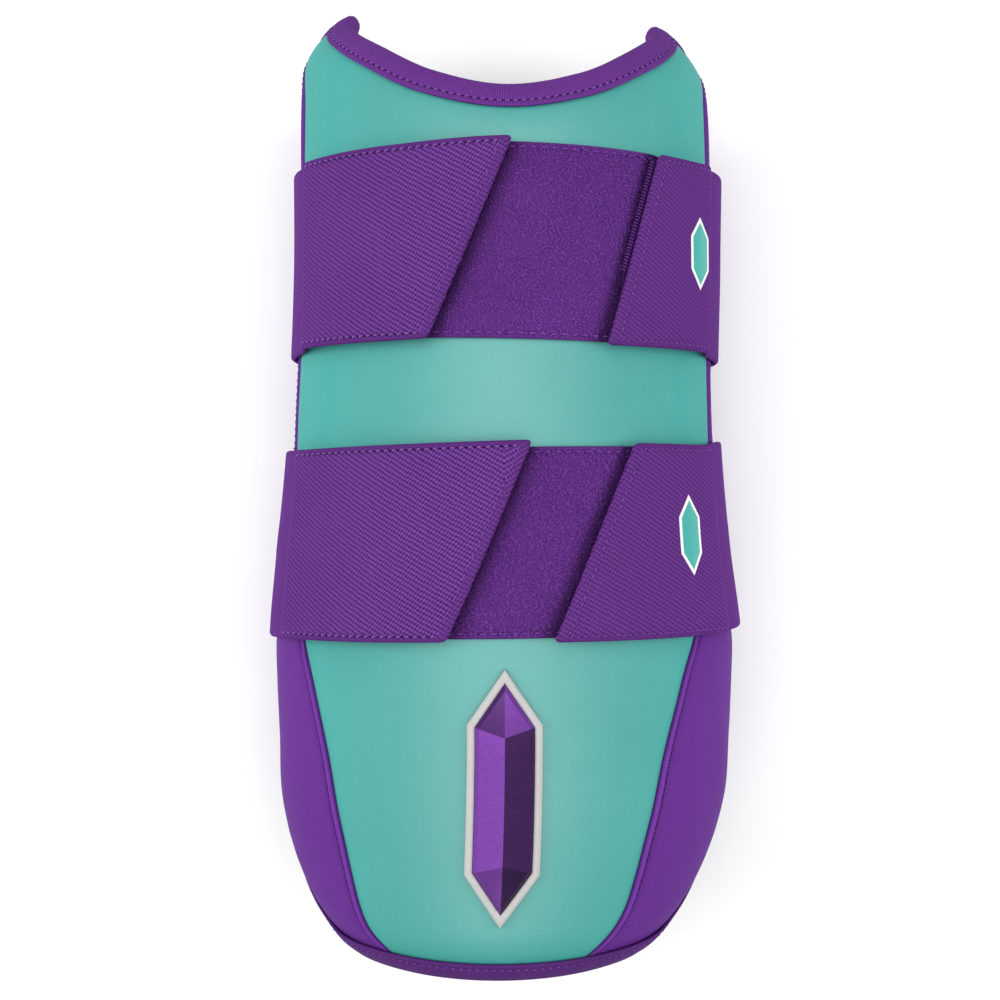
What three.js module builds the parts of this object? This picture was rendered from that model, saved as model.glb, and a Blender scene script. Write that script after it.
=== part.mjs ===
// A batter's elbow guard: a padded leather gutter over the outside of the elbow, bound along its edge,
// with two elastic straps that fasten on its front and close its open back.
// It lies on the flat of its straps with its front up, as it would on a bench.
// Millimetres. X runs across the guard, Y from its elbow cup to its scooped rim, Z from the floor up.
import * as THREE from "three";

// Padded wall
const WALL = 8.5; // full thickness, leather to lining
const EDGE = 4; // thickness pressed flat under the binding
const TAPER = 15; // width of the roll between the two
const SEAM_GAP = 0.4; // between two sewn panels
const GAP = 0.3; // between pieces that lie on each other

// Form of the outer face: a quarter ellipse each side of the crown, then a side down to the back edge
const SIDE_LINE = 36; // height of the widest line above the floor
const BACK = 3.8; // height of the wall's back edge above the floor
const TUCK = 3; // how far the back edge turns in
const ARC_SHARE = 0.7; // share of the half span that the quarter ellipse takes
const HALF_SPAN = 116; // crown to back edge, measured round the form
const CORNER = 12; // radius of the two corners of each back edge

// Outer face at full thickness, by height: half its width, its crown above the floor, and how far its
// middle stands off the axis
const SECTIONS = [
  { y: -134, halfWidth: 45, crown: 75, middle: -1.8 },
  { y: -120, halfWidth: 52, crown: 80, middle: -1.4 },
  { y: -105, halfWidth: 57.6, crown: 83, middle: -1 },
  { y: -85, halfWidth: 62.6, crown: 85, middle: -0.4 },
  { y: -50, halfWidth: 64.5, crown: 85.5, middle: 0 },
  { y: -12, halfWidth: 60.6, crown: 85, middle: 0 },
  { y: 22, halfWidth: 58.8, crown: 84.5, middle: 0 },
  { y: 62, halfWidth: 57.8, crown: 83.5, middle: 0.5 },
  { y: 108, halfWidth: 57.4, crown: 81.5, middle: 0.1 },
  { y: 120, halfWidth: 55, crown: 80, middle: -1 },
  { y: 128, halfWidth: 50.7, crown: 78, middle: -1.5 },
  { y: 138, halfWidth: 41, crown: 74, middle: -2.5 },
];

// Outline of the wall, by place round the form: 0 at the crown and 1 at a back edge. The first row repeats
// the third on the other half, to keep the middle of the rim round.
// The rim's left horn stands a little higher than its right one.
const RIM_TILT = -3;
const OUTLINE = [
  { place: -0.16, rim: 107.6, cup: -127.5 },
  { place: 0, rim: 103.6, cup: -127.8 },
  { place: 0.16, rim: 107.6, cup: -127.5 },
  { place: 0.31, rim: 116.6, cup: -126.6 },
  { place: 0.4, rim: 122, cup: -125.8 },
  { place: 0.46, rim: 125.6, cup: -124.5 },
  { place: 0.51, rim: 130, cup: -122.5 },
  { place: 0.6, rim: 129.4, cup: -115.9 },
  { place: 0.7, rim: 128, cup: -105 },
  { place: 0.85, rim: 113, cup: -82 },
  { place: 1, rim: 99, cup: -58 },
];

// Seams between the front panel and the side panels, by height
const SEAM = [
  { y: -128, left: 0.272, right: 0.215 },
  { y: -116, left: 0.31, right: 0.256 },
  { y: -105, left: 0.322, right: 0.277 },
  { y: -75, left: 0.352, right: 0.306 },
  { y: -40, left: 0.43, right: 0.387 },
  { y: -12, left: 0.525, right: 0.515 },
  { y: 12, left: 0.588, right: 0.562 },
  { y: 40, left: 0.588, right: 0.566 },
  { y: 86, left: 0.582, right: 0.568 },
  { y: 107, left: 0.577, right: 0.572 },
  { y: 114, left: 0.598, right: 0.605 },
  { y: 120, left: 0.63, right: 0.648 },
  { y: 132, left: 0.7, right: 0.71 },
];

// Folded tape over the edge
const BINDING = { width: 6, thickness: 0.9, gap: 0.45 };

// Straps: thickness and lift of each layer above the leather
const STRAP_WIDTH = 50;
const WEBBING = 1.6; // elastic webbing
const PILE = 1.8; // loop band sewn to the front
const HOOK = 1; // hook patch under each strap end
const PILE_LIFT = GAP;
const HOOK_LIFT = PILE_LIFT + PILE + GAP;
const OVERLAP_LIFT = HOOK_LIFT + HOOK + GAP; // webbing over hook and pile
const STRAP_LIFT = 0.4; // webbing over leather
const STRAP_BEND = 6; // inside radius where a strap turns under the guard
const PILE_END = 0.45; // place of the loop band's ends
const RAMP = 0.07; // length of the webbing's climb onto the loop band, as a place
const HOOK_END = 0.43; // place where the hook patches stop
const HOOK_SHOWS = 1; // how far a hook patch stands out past its strap end
const HOOK_INSET = 1.2; // kept back from the strap's two edges

// Straps: each has a height, a loop band and two ends. The band and the ends drop below the strap's height
// and lean off it (up on the right, down on the left). An end may rise towards its cut and stands slack off
// the guard's side, less along its upper edge. Its slanted cut runs from a foot to a top, measured across.
const STRAPS = [
  {
    name: "upper",
    y: 63.2,
    band: { width: 50, drop: 0, lean: -1.2 },
    left: { drop: 0.3, lean: 0.5, rise: 0.8, slack: 0, foot: -18.2, top: 1.6 },
    right: { drop: 1.7, lean: 0, rise: 0, slack: 0.7, foot: 24, top: 37 },
  },
  {
    name: "lower",
    y: -12.8,
    band: { width: 48.2, drop: 0.5, lean: 0.9 },
    left: { drop: -0.1, lean: 2, rise: 0, slack: 1.4, foot: -13.2, top: 6.8 },
    right: { drop: 0, lean: 0, rise: 0, slack: 1.1, foot: 11, top: 32 },
  },
];
const RISE_REACH = 0.22; // place where an end starts to rise
const DROP_FADE = 0.4; // span of places down the sides over which a drop fades out
const UNDER_FADE = 0.12; // span of places over which a band takes on the line of the end above it

// Badge on the front panel: a plain faceted hexagon in a raised border
const BADGE = {
  y: -78,
  halfHeight: 33,
  halfWidth: 9.5,
  shoulder: 19,
  border: 2, // width of the border
  rise: 1.5, // of the border above the leather
  rim: 1, // of the plate's edge above the leather
  ridge: 3.2, // of the plate's ridge above the leather
  flat: 0.8, // half the ridge's width
};

const clamp = THREE.MathUtils.clamp;
const lerp = THREE.MathUtils.lerp;
const smooth = (t) => THREE.MathUtils.smoothstep(t, 0, 1);

// Value of a table's column where its key column reaches `at`: a smooth curve through the rows
function read(table, key, column, at) {
  const last = table.length - 1;
  const slopeAt = (i) => {
    const before = table[Math.max(i - 1, 0)];
    const after = table[Math.min(i + 1, last)];
    return (after[column] - before[column]) / (after[key] - before[key]);
  };
  if (at <= table[0][key]) return table[0][column] + slopeAt(0) * (at - table[0][key]);
  if (at >= table[last][key]) return table[last][column] + slopeAt(last) * (at - table[last][key]);
  const i = table.findIndex((row) => row[key] > at);
  const [low, high] = [table[i - 1], table[i]];
  const step = high[key] - low[key];
  const t = (at - low[key]) / step;
  const lowWeight = (1 + 2 * t) * (1 - t) ** 2;
  const bend = slopeAt(i - 1) * t * (1 - t) ** 2 - slopeAt(i) * t ** 2 * (1 - t);
  return lowWeight * low[column] + (1 - lowWeight) * high[column] + bend * step;
}

// Quarter ellipse of the form's section at a height, from the crown (turn 0) to the widest line (turn 1)
function archPoint(turn, y) {
  const angle = (turn * Math.PI) / 2;
  const x = read(SECTIONS, "y", "halfWidth", y) * Math.sin(angle);
  const z = SIDE_LINE + (read(SECTIONS, "y", "crown", y) - SIDE_LINE) * Math.cos(angle);
  return new THREE.Vector3(x, y, z);
}

// Place on the arch that lies a given measure across from the crown
function placeAcross(x, y) {
  return (Math.asin(x / read(SECTIONS, "y", "halfWidth", y)) / (Math.PI / 2)) * ARC_SHARE;
}

// Point of the guard's outer face at full thickness
function guardForm(place, y) {
  const reach = Math.abs(place);
  const point = archPoint(Math.min(reach / ARC_SHARE, 1), y);
  if (reach > ARC_SHARE) {
    const down = (reach - ARC_SHARE) / (1 - ARC_SHARE);
    point.x -= TUCK * down ** 2;
    point.z = lerp(SIDE_LINE, BACK, down);
  }
  point.x = point.x * Math.sign(place) + read(SECTIONS, "y", "middle", y);
  return point;
}

// Places along a strap: where it turns under the guard, where it lies flat, and where its halves meet
const BEND_PLACE = 1;
const FLAT_PLACE = 1.08;
const MEET_PLACE = 1.5;
const BACK_LEVEL = STRAP_LIFT + WEBBING; // makes the outside of the flat stretch lie on the floor

// Line that the straps follow: the arch of the guard, straight down its side, and flat across its back
function strapForm(place, y) {
  const reach = Math.abs(place);
  const point = archPoint(Math.min(reach / ARC_SHARE, 1), y);
  const width = point.x;
  const bendTop = BACK_LEVEL + STRAP_BEND;
  if (reach > FLAT_PLACE) {
    const along = (reach - FLAT_PLACE) / (MEET_PLACE - FLAT_PLACE);
    point.x = lerp(width - STRAP_BEND, 0, along);
    point.z = BACK_LEVEL;
  } else if (reach > BEND_PLACE) {
    const angle = ((reach - BEND_PLACE) / (FLAT_PLACE - BEND_PLACE)) * (Math.PI / 2);
    point.x = width - STRAP_BEND * (1 - Math.cos(angle));
    point.z = bendTop - STRAP_BEND * Math.sin(angle);
  } else if (reach > ARC_SHARE) {
    point.z = lerp(SIDE_LINE, bendTop, (reach - ARC_SHARE) / (BEND_PLACE - ARC_SHARE));
  }
  point.x = point.x * Math.sign(place) + read(SECTIONS, "y", "middle", y);
  return point;
}

// Point a given lift above a form, along its outward normal
function liftOff(form, place, y, lift) {
  const nearPlace = 0.004;
  const nearY = 0.5;
  const round = form(place + nearPlace, y).sub(form(place - nearPlace, y));
  const along = form(place, y + nearY).sub(form(place, y - nearY));
  return form(place, y).addScaledVector(round.cross(along).normalize(), lift);
}

// How far a back corner's rounding pulls the outline in at a place
function cornerDrop(place) {
  const into = Math.max(0, Math.abs(place) * HALF_SPAN - (HALF_SPAN - CORNER));
  return CORNER - Math.sqrt(Math.max(0, CORNER ** 2 - into ** 2));
}

const outlineAt = (column, place) => read(OUTLINE, "place", column, Math.abs(place));
const rimAt = (place) => outlineAt("rim", place) + RIM_TILT * place - cornerDrop(place);
const cupAt = (place) => outlineAt("cup", place) + cornerDrop(place);
const heightAt = (place, share) => lerp(cupAt(place), rimAt(place), share);

// Place of a seam on the line that lies a given share of the way from cup to rim
function seamAt(side, share) {
  const sign = side === "left" ? -1 : 1;
  let place = sign * 0.5;
  for (let round = 0; round < 12; round += 1) place = sign * read(SEAM, "y", side, heightAt(place, share));
  return place;
}

// Columns and rows shared by the wall panels and the binding. Rows crowd towards the rim and the cup,
// and a side panel's columns crowd towards its back edge.
const FRONT_COLUMNS = 24;
const SIDE_COLUMNS = 12;
const ROWS = 22;
const steps = (count) => Array.from({ length: count + 1 }, (_, i) => i / count);
const rowShares = steps(ROWS).map((t) => (1 - Math.cos(t * Math.PI)) / 2);
const backwards = steps(SIDE_COLUMNS).map((t) => Math.sin((t * Math.PI) / 2));
const seamShift = SEAM_GAP / 2 / HALF_SPAN;
const frontPlace = (t, share) =>
  lerp(seamAt("left", share) + seamShift, seamAt("right", share) - seamShift, t);
const leftPlace = (t, share) => lerp(seamAt("left", share) - seamShift, -1, t);
const rightPlace = (t, share) => lerp(seamAt("right", share) + seamShift, 1, t);

// Outline of the laid-out wall as points of measure round the form and height, from the left rim corner
// along the rim, down the right back edge, along the cup and up the left back edge
function outlineStations() {
  const across = (share) => {
    const left = backwards.map((t) => leftPlace(t, share)).reverse();
    const front = steps(FRONT_COLUMNS).map((t) => frontPlace(t, share));
    const right = backwards.map((t) => rightPlace(t, share));
    const apart = 2.1 * seamShift; // keeps one of the two places beside each seam
    return [...left, ...front, ...right].filter((place, i, all) => i === 0 || place - all[i - 1] > apart);
  };
  const rim = across(1).map((place) => ({ place, y: rimAt(place) }));
  const cup = across(0).map((place) => ({ place, y: cupAt(place) }));
  const backSteps = steps(8).slice(1, -1);
  const rightBack = backSteps.map((t) => ({ place: 1, y: heightAt(1, 1 - t) }));
  const leftBack = backSteps.map((t) => ({ place: -1, y: heightAt(-1, t) }));
  return [...rim, ...rightBack, ...cup.reverse(), ...leftBack];
}
const stations = outlineStations().map(({ place, y }) => new THREE.Vector2(place * HALF_SPAN, y));

// Distance from a place on the laid-out wall to its outline
function edgeDistance(place, y) {
  const point = new THREE.Vector2(place * HALF_SPAN, y);
  let nearest = Infinity;
  stations.forEach((start, i) => {
    const way = stations[(i + 1) % stations.length].clone().sub(start);
    const along = clamp(point.clone().sub(start).dot(way) / way.lengthSq(), 0, 1);
    nearest = Math.min(nearest, point.distanceTo(start.clone().addScaledVector(way, along)));
  });
  return nearest;
}

// How much thinner the wall is at a distance from its edge
const thinning = (distance) => (WALL - EDGE) * (1 - clamp(distance / TAPER, 0, 1)) ** 2;

const outerFace = (place, y) => liftOff(guardForm, place, y, -thinning(edgeDistance(place, y)));
const innerFace = (place, y) => liftOff(guardForm, place, y, -WALL);

// Closed solid from rows of corner points and triangles between them
function solid(points, triangles) {
  const geometry = new THREE.BufferGeometry().setFromPoints(points);
  geometry.setIndex(triangles.flat());
  return geometry;
}

// Sheet with a thickness, from a grid of points on its outer face and the same grid on its inner face
function sheetSolid(outer, inner) {
  const rows = outer.length;
  const columns = outer[0].length;
  const outerAt = (row, column) => row * columns + column;
  const innerAt = (row, column) => (rows + row) * columns + column;
  const triangles = [];
  const quad = (a, b, c, d) => triangles.push([a, b, c], [a, c, d]);
  for (let r = 0; r < rows - 1; r += 1) {
    for (let c = 0; c < columns - 1; c += 1) {
      quad(outerAt(r, c), outerAt(r, c + 1), outerAt(r + 1, c + 1), outerAt(r + 1, c));
      quad(innerAt(r, c), innerAt(r + 1, c), innerAt(r + 1, c + 1), innerAt(r, c + 1));
    }
    const end = columns - 1;
    quad(outerAt(r, 0), outerAt(r + 1, 0), innerAt(r + 1, 0), innerAt(r, 0));
    quad(outerAt(r, end), innerAt(r, end), innerAt(r + 1, end), outerAt(r + 1, end));
  }
  for (let c = 0; c < columns - 1; c += 1) {
    const end = rows - 1;
    quad(outerAt(0, c), innerAt(0, c), innerAt(0, c + 1), outerAt(0, c + 1));
    quad(outerAt(end, c), outerAt(end, c + 1), innerAt(end, c + 1), innerAt(end, c));
  }
  return solid([...outer.flat(), ...inner.flat()], triangles);
}

// Ring swept through closed sections that all have the same number of corners
function ringSolid(sections) {
  const corners = sections[0].length;
  const triangles = [];
  sections.forEach((_, i) => {
    const here = i * corners;
    const next = ((i + 1) % sections.length) * corners;
    for (let k = 0; k < corners; k += 1) {
      const after = (k + 1) % corners;
      triangles.push([here + k, next + k, next + after], [here + k, next + after, here + after]);
    }
  });
  return solid(sections.flat(), triangles);
}

// Wall panel between two edges, each given as a place for a row's share
function panelSolid(columns, placeAt) {
  const grid = (face) =>
    rowShares.map((share) =>
      columns.map((column) => {
        const place = placeAt(column, share);
        return face(place, heightAt(place, share));
      }),
    );
  return sheetSolid(grid(outerFace), grid(innerFace));
}

const frontPanel = () => panelSolid(steps(FRONT_COLUMNS), frontPlace);
const leftPanel = () => panelSolid([...backwards].reverse(), leftPlace);
const rightPanel = () => panelSolid(backwards, rightPlace);

// Tape folded over the wall's edge: corners as the distance in from the edge and the face they lie off
function bindingSolid() {
  const { width, thickness, gap } = BINDING;
  const far = gap + thickness;
  const thin = (distance) => -thinning(distance);
  const nose = (thin(0) - WALL) / 2;
  const corners = [
    [width, thin(width) + gap],
    [width, thin(width) + far],
    [width / 2, thin(width / 2) + far],
    [GAP, thin(0) + far],
    [-far * 0.8, thin(0) + gap],
    [-far, nose],
    [-far * 0.8, -WALL - gap],
    [GAP, -WALL - far],
    [width, -WALL - far],
    [width, -WALL - gap],
    [-gap, -WALL - gap],
    [-gap, thin(0) + gap],
    [width / 2, thin(width / 2) + gap],
  ];
  const sections = stations.map((edge, i) => {
    const before = stations[(i + stations.length - 1) % stations.length];
    const after = stations[(i + 1) % stations.length];
    const ahead = after.clone().sub(edge).normalize().add(edge.clone().sub(before).normalize()).normalize();
    const inward = new THREE.Vector2(ahead.y, -ahead.x);
    return corners.map(([distance, lift]) => {
      const spot = edge.clone().addScaledVector(inward, distance);
      return liftOff(guardForm, spot.x / HALF_SPAN, spot.y, lift);
    });
  });
  return ringSolid(sections);
}

// Grid on a strap's line: heights across its width, and for each a list of places
function strapSheet(shares, placesFor, heightFor, liftFor, thickness) {
  const grid = (extra) =>
    shares.map((share) =>
      placesFor(share).map((place) => {
        const lift = liftFor(share, place) + extra;
        return liftOff(strapForm, place, heightFor(share, place), lift);
      }),
    );
  return sheetSolid(grid(thickness), grid(0));
}

const acrossStrap = steps(4);
const acrossForm = (strap, place) =>
  strapForm(place, strap.y).x / read(SECTIONS, "y", "halfWidth", strap.y);

// Middle line of one end of a strap
function endLine(strap, end, place) {
  const drop = end.drop * (1 - smooth((Math.abs(place) - ARC_SHARE) / DROP_FADE));
  const rise = end.rise * smooth(1 + place / RISE_REACH);
  return strap.y - drop + rise + end.lean * acrossForm(strap, place);
}

// Middle line of a loop band, which takes on the line of the ends that lie on it
function bandLine(strap, place) {
  const [end, cut] = place < 0 ? [strap.left, strap.left.foot] : [strap.right, strap.right.top];
  const covered = smooth((Math.abs(place) - Math.abs(placeAcross(cut, strap.y))) / UNDER_FADE);
  const line = strap.y - strap.band.drop + strap.band.lean * acrossForm(strap, place);
  return lerp(line, endLine(strap, end, place), covered);
}

// Loop band across the front, which both ends of a strap fasten to
function loopBand(strap) {
  const places = steps(16).map((t) => lerp(-PILE_END, PILE_END, t));
  const height = (share, place) => bandLine(strap, place) + (share - 0.5) * strap.band.width;
  return strapSheet(acrossStrap, () => places, height, () => PILE_LIFT, PILE);
}

// Webbing climbs from the leather onto the loop band and the hook patch, and stands off the guard's sides
function webbingLift(end, share, place) {
  const reach = Math.abs(place);
  const climb = smooth((PILE_END + RAMP - reach) / RAMP);
  const beside = smooth((reach - PILE_END + RAMP) / (2 * RAMP)) * smooth((BEND_PLACE - reach) / (2 * RAMP));
  return lerp(STRAP_LIFT, OVERLAP_LIFT, climb) + end.slack * beside * (1 - share ** 4);
}

// Height and end of a strap at a share of its width
const endHeight = (strap, end, share, place) => endLine(strap, end, place) + (share - 0.5) * STRAP_WIDTH;
function endAt(strap, place) {
  const between = placeAcross((strap.left.top + strap.right.foot) / 2, strap.y);
  return place < between ? strap.left : strap.right;
}

// Place of a slanted cut at a share of the strap's width
const cutPlace = (strap, end, share) => placeAcross(lerp(end.foot, end.top, share), strap.y);

// Strap from its left cut round the left side, across the back and up the right side to its right cut
function webbing(strap) {
  const run = (count, from, to) => steps(count).slice(0, -1).map((t) => lerp(from, to, t));
  const behind = [
    ...run(2, ARC_SHARE, BEND_PLACE),
    ...run(4, BEND_PLACE, FLAT_PLACE),
    ...run(2, FLAT_PLACE, MEET_PLACE),
  ];
  const leftHalf = (share) => {
    const cut = cutPlace(strap, strap.left, share);
    return [...run(18, cut, -ARC_SHARE), ...behind.map((place) => -place)];
  };
  const rightHalf = (share) => {
    const cut = cutPlace(strap, strap.right, share);
    return [...run(14, cut, ARC_SHARE), ...behind].reverse();
  };
  const places = (share) => [...leftHalf(share), MEET_PLACE, ...rightHalf(share)].reverse();
  const height = (share, place) => endHeight(strap, endAt(strap, place), share, place);
  const lift = (share, place) => webbingLift(endAt(strap, place), share, place);
  return strapSheet(acrossStrap, places, height, lift, WEBBING);
}

// Hook patch under one end of a strap, standing out a little past the cut
function hookPatch(strap, side) {
  const end = strap[side];
  const toward = side === "left" ? -1 : 1;
  const inset = HOOK_INSET / STRAP_WIDTH;
  const shares = acrossStrap.map((share) => lerp(inset, 1 - inset, share));
  const places = (share) => {
    const start = cutPlace(strap, end, share) - (toward * HOOK_SHOWS) / HALF_SPAN;
    const run = steps(12).map((t) => lerp(start, toward * HOOK_END, t));
    return toward > 0 ? run : run.reverse();
  };
  const height = (share, place) => endHeight(strap, end, share, place);
  return strapSheet(shares, places, height, () => HOOK_LIFT, HOOK);
}

// Solid through a stack of closed rings, each with the same number of corners, closed at both ends
function stackSolid(rings) {
  const corners = rings[0].length;
  const points = rings.flat();
  const triangles = [];
  const total = (ring) => ring.reduce((sum, point) => sum.add(point), new THREE.Vector3());
  const centre = (ring) => total(ring).divideScalar(corners);
  const [foot, top] = [points.length, points.length + 1];
  const lastRing = (rings.length - 1) * corners;
  points.push(centre(rings[0]), centre(rings[rings.length - 1]));
  for (let k = 0; k < corners; k += 1) {
    const after = (k + 1) % corners;
    for (let low = 0; low < lastRing; low += corners) {
      const high = low + corners;
      triangles.push([low + k, low + after, high + after], [low + k, high + after, high + k]);
    }
    triangles.push([foot, after, k], [top, lastRing + k, lastRing + after]);
  }
  return solid(points, triangles);
}

// Outline of the badge drawn in by an inset and laid on the guard: a hexagon with points at rim and cup side
function badgeRing(inset, lift) {
  const { y, halfHeight, halfWidth, shoulder } = BADGE;
  const fall = (halfHeight - shoulder) / halfWidth;
  const tip = halfHeight - inset * Math.hypot(1, fall);
  const side = halfWidth - inset;
  const corner = tip - side * fall;
  const corners = [[0, tip], [-side, corner], [-side, -corner], [0, -tip], [side, -corner], [side, corner]];
  return corners.flatMap(([x, rise], i) => {
    const [nextX, nextRise] = corners[(i + 1) % corners.length];
    const along = steps(4).slice(0, -1);
    return along.map((t) => {
      const height = y + lerp(rise, nextRise, t);
      return liftOff(guardForm, placeAcross(lerp(x, nextX, t), height), height, lift);
    });
  });
}

// Raised border that follows the badge's outline
function badgeBorder() {
  const { border, rise } = BADGE;
  const edges = [
    badgeRing(border, GAP),
    badgeRing(0, GAP),
    badgeRing(0, rise * 0.7),
    badgeRing(border / 2, rise),
    badgeRing(border, rise * 0.7),
  ];
  return ringSolid(edges[0].map((_, i) => edges.map((edge) => edge[i])));
}

// Faceted plate inside the border, rising to a narrow ridge
function badgePlate() {
  const { border, halfWidth, rim, ridge, flat } = BADGE;
  const inset = border + 2 * GAP;
  const middle = halfWidth - flat;
  return stackSolid([
    badgeRing(middle, 2 * GAP),
    badgeRing(inset, GAP),
    badgeRing(inset, rim),
    badgeRing(middle, ridge),
  ]);
}

const surface = (color, roughness, metalness) =>
  new THREE.MeshStandardMaterial({ color, roughness, metalness });
const leather = (color) => surface(color, 0.5, 0);
const cloth = (color) => surface(color, 0.9, 0);
const TEAL = 0x5db8ac;
const PURPLE = 0x6f3d95;
const DEEP_PURPLE = 0x5d337d;
const SILVER = 0xc9c7c4;

const guard = new THREE.Group();
function addPiece(name, geometry, material) {
  const mesh = new THREE.Mesh(geometry, material);
  mesh.name = name;
  guard.add(mesh);
}

addPiece("front_panel", frontPanel(), leather(TEAL));
addPiece("left_side_panel", leftPanel(), leather(PURPLE));
addPiece("right_side_panel", rightPanel(), leather(PURPLE));
addPiece("edge_binding", bindingSolid(), cloth(DEEP_PURPLE));
STRAPS.forEach((strap) => {
  addPiece(`${strap.name}_loop_band`, loopBand(strap), cloth(DEEP_PURPLE));
  addPiece(`${strap.name}_strap`, webbing(strap), cloth(PURPLE));
  addPiece(`${strap.name}_left_hook_patch`, hookPatch(strap, "left"), cloth(DEEP_PURPLE));
  addPiece(`${strap.name}_right_hook_patch`, hookPatch(strap, "right"), cloth(DEEP_PURPLE));
});
addPiece("badge_border", badgeBorder(), surface(SILVER, 0.5, 0));
addPiece("badge_plate", badgePlate(), surface(PURPLE, 0.2, 0.8));

// The origin lies on the floor under the middle of the guard
const middle = new THREE.Box3().setFromObject(guard).getCenter(new THREE.Vector3());
guard.position.set(-middle.x, -middle.y, 0);

const part = new THREE.Group();
part.add(guard);
export default part;
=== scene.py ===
import math

import bpy
import numpy as np
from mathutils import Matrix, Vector


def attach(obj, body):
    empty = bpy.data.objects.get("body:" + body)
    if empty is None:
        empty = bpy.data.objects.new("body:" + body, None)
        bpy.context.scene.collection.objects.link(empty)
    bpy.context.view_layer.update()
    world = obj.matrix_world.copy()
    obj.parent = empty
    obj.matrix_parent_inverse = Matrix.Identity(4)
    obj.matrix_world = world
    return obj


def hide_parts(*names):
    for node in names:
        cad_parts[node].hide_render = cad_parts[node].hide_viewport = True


# Looks of a batter's elbow guard: padded leather panels, folded binding tape, two webbing straps that
# fasten on loop bands, their stitching, and a faceted badge, laid on the same form as the solids.
# The form is worked out in the millimetres of its tables, and each piece is put into the frame in metres.

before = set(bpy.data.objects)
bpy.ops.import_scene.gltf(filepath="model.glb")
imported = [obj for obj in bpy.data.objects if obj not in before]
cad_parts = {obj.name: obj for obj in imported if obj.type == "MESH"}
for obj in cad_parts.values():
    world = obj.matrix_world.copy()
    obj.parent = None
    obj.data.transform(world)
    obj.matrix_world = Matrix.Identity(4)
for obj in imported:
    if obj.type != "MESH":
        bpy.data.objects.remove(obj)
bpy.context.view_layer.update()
scene = bpy.context.scene

MM = 0.001
MIDDLE = np.array([-0.221, 1.395, 0.0])  # middle of the guard's box, in the measures of the tables


def table(columns, *rows):
    """Rows of numbers as named columns."""
    return dict(zip(columns.split(), np.array(rows, float).T))


SIDES = ("left", "right")

# Padded wall
WALL = 8.5
EDGE = 4.0  # thickness left at its edge
TAPER = 15.0  # how far in from the edge it thins
SEAM_GAP = 0.4  # between two panels

# Form of the outer face: a quarter ellipse each side of the crown, then a side down to the back edge
SIDE_LINE = 36.0  # height above the floor of the widest line
BACK = 3.8  # and of the back edge
TUCK = 3.0  # how far the back edge is drawn in
ARC_SHARE = 0.7  # place of the widest line
HALF_SPAN = 116.0  # measure round the form from the crown to a back edge
CORNER = 12.0  # rounding of the wall's back corners
SECTIONS = table(
    "y half_width crown middle",
    (-134, 45, 75, -1.8),
    (-120, 51.5, 80, -1.4),
    (-105, 57.2, 83, -0.9),
    (-85, 62.4, 85, -0.2),
    (-68, 63.4, 85.4, 0.1),
    (-52, 64.1, 85.5, 0.1),
    (-40, 64.2, 85.4, 0.1),
    (-12, 60.6, 85, 0),
    (22, 58.8, 84.5, 0),
    (62, 57.8, 83.5, 0.5),
    (108, 57.4, 81.5, 0.1),
    (120, 55, 80, -1),
    (128, 50.7, 78, -1.5),
    (138, 41, 74, -2.5),
)

# Outline of the wall, by place round the form: 0 at the crown and 1 at a back edge
RIM_TILT = -3.0
OUTLINE = table(
    "place rim cup",
    (-0.16, 107.6, -127.5),
    (0, 103.6, -127.8),
    (0.16, 107.6, -127.5),
    (0.31, 116.6, -126.6),
    (0.4, 122, -125.8),
    (0.46, 125.6, -124.5),
    (0.51, 130, -122.5),
    (0.6, 129.4, -115.9),
    (0.7, 128, -105),
    (0.85, 113, -82),
    (1, 99, -58),
)

# Seams between the front panel and the side panels, by height
SEAM = table(
    "y left right",
    (-128, 0.25, 0.19),
    (-121, 0.278, 0.224),
    (-115, 0.308, 0.256),
    (-109, 0.321, 0.276),
    (-101, 0.327, 0.284),
    (-90, 0.335, 0.29),
    (-78, 0.351, 0.304),
    (-66, 0.374, 0.325),
    (-54, 0.4, 0.354),
    (-46, 0.42, 0.375),
    (-40, 0.438, 0.398),
    (-12, 0.53, 0.52),
    (12, 0.588, 0.562),
    (40, 0.588, 0.566),
    (86, 0.582, 0.568),
    (107, 0.577, 0.572),
    (114, 0.598, 0.605),
    (120, 0.63, 0.648),
    (132, 0.7, 0.71),
)

# Horns of the rim, where the wall is thinner on its inside and the tape narrower
HORN_FOOT = 96.0
HORN_FADE = 26.0
HORN_PLACE = 0.54
HORN_REACH = 0.16
HORN_THINNING = 2.4
HORN_TAPE_SHARE = 0.22  # share of its width that the tape loses

# Lift of the side panels' folded edge along a seam, by distance from the seam
WELT = table(
    "away lift",
    (0, -0.15),
    (0.1, 0.15),
    (0.3, 0.4),
    (0.7, 0.5),
    (1.1, 0.4),
    (1.5, 0.1),
    (1.9, -0.4),
    (2.2, -0.5),
    (2.5, -0.3),
    (3, 0),
    (4.5, 0.15),
    (8, 0.05),
    (12, 0),
)
WELT_REACH = 12.0
# The welt's crest is painted lighter (painted highlight) and its topstitching groove painted darker (painted
# shade).
WELT_CREST = 0.6  # distance of its crest from the seam
WELT_CREST_WIDTH = 0.5
WELT_STITCH = 2.1  # distance of the topstitching from the seam
WELT_GROOVE_SHADE = 0.5  # painted shade: how much darker the leather's colour is made along the topstitching groove
WELT_GROOVE_SHADE_WIDTH = 0.4
WELT_SUNK = -0.3  # share of the lift up the sides, where the edge sinks in
WELT_TOP = 5.0  # height above which it is sunk
WELT_FADE = 40.0  # span below that over which the lift grows full
SEAM_SINKS = 12.0  # height above which the topstitching sinks into the leather
SEAM_TUCK = 0.45  # how far the front leather dips into a seam
SEAM_ROLL = 0.8  # width of that dip
SEAM_SHADE = 0.8  # painted shade: how much darker the front leather's colour is made in the dip
SEAM_SHADE_ROLL = 0.5
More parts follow.
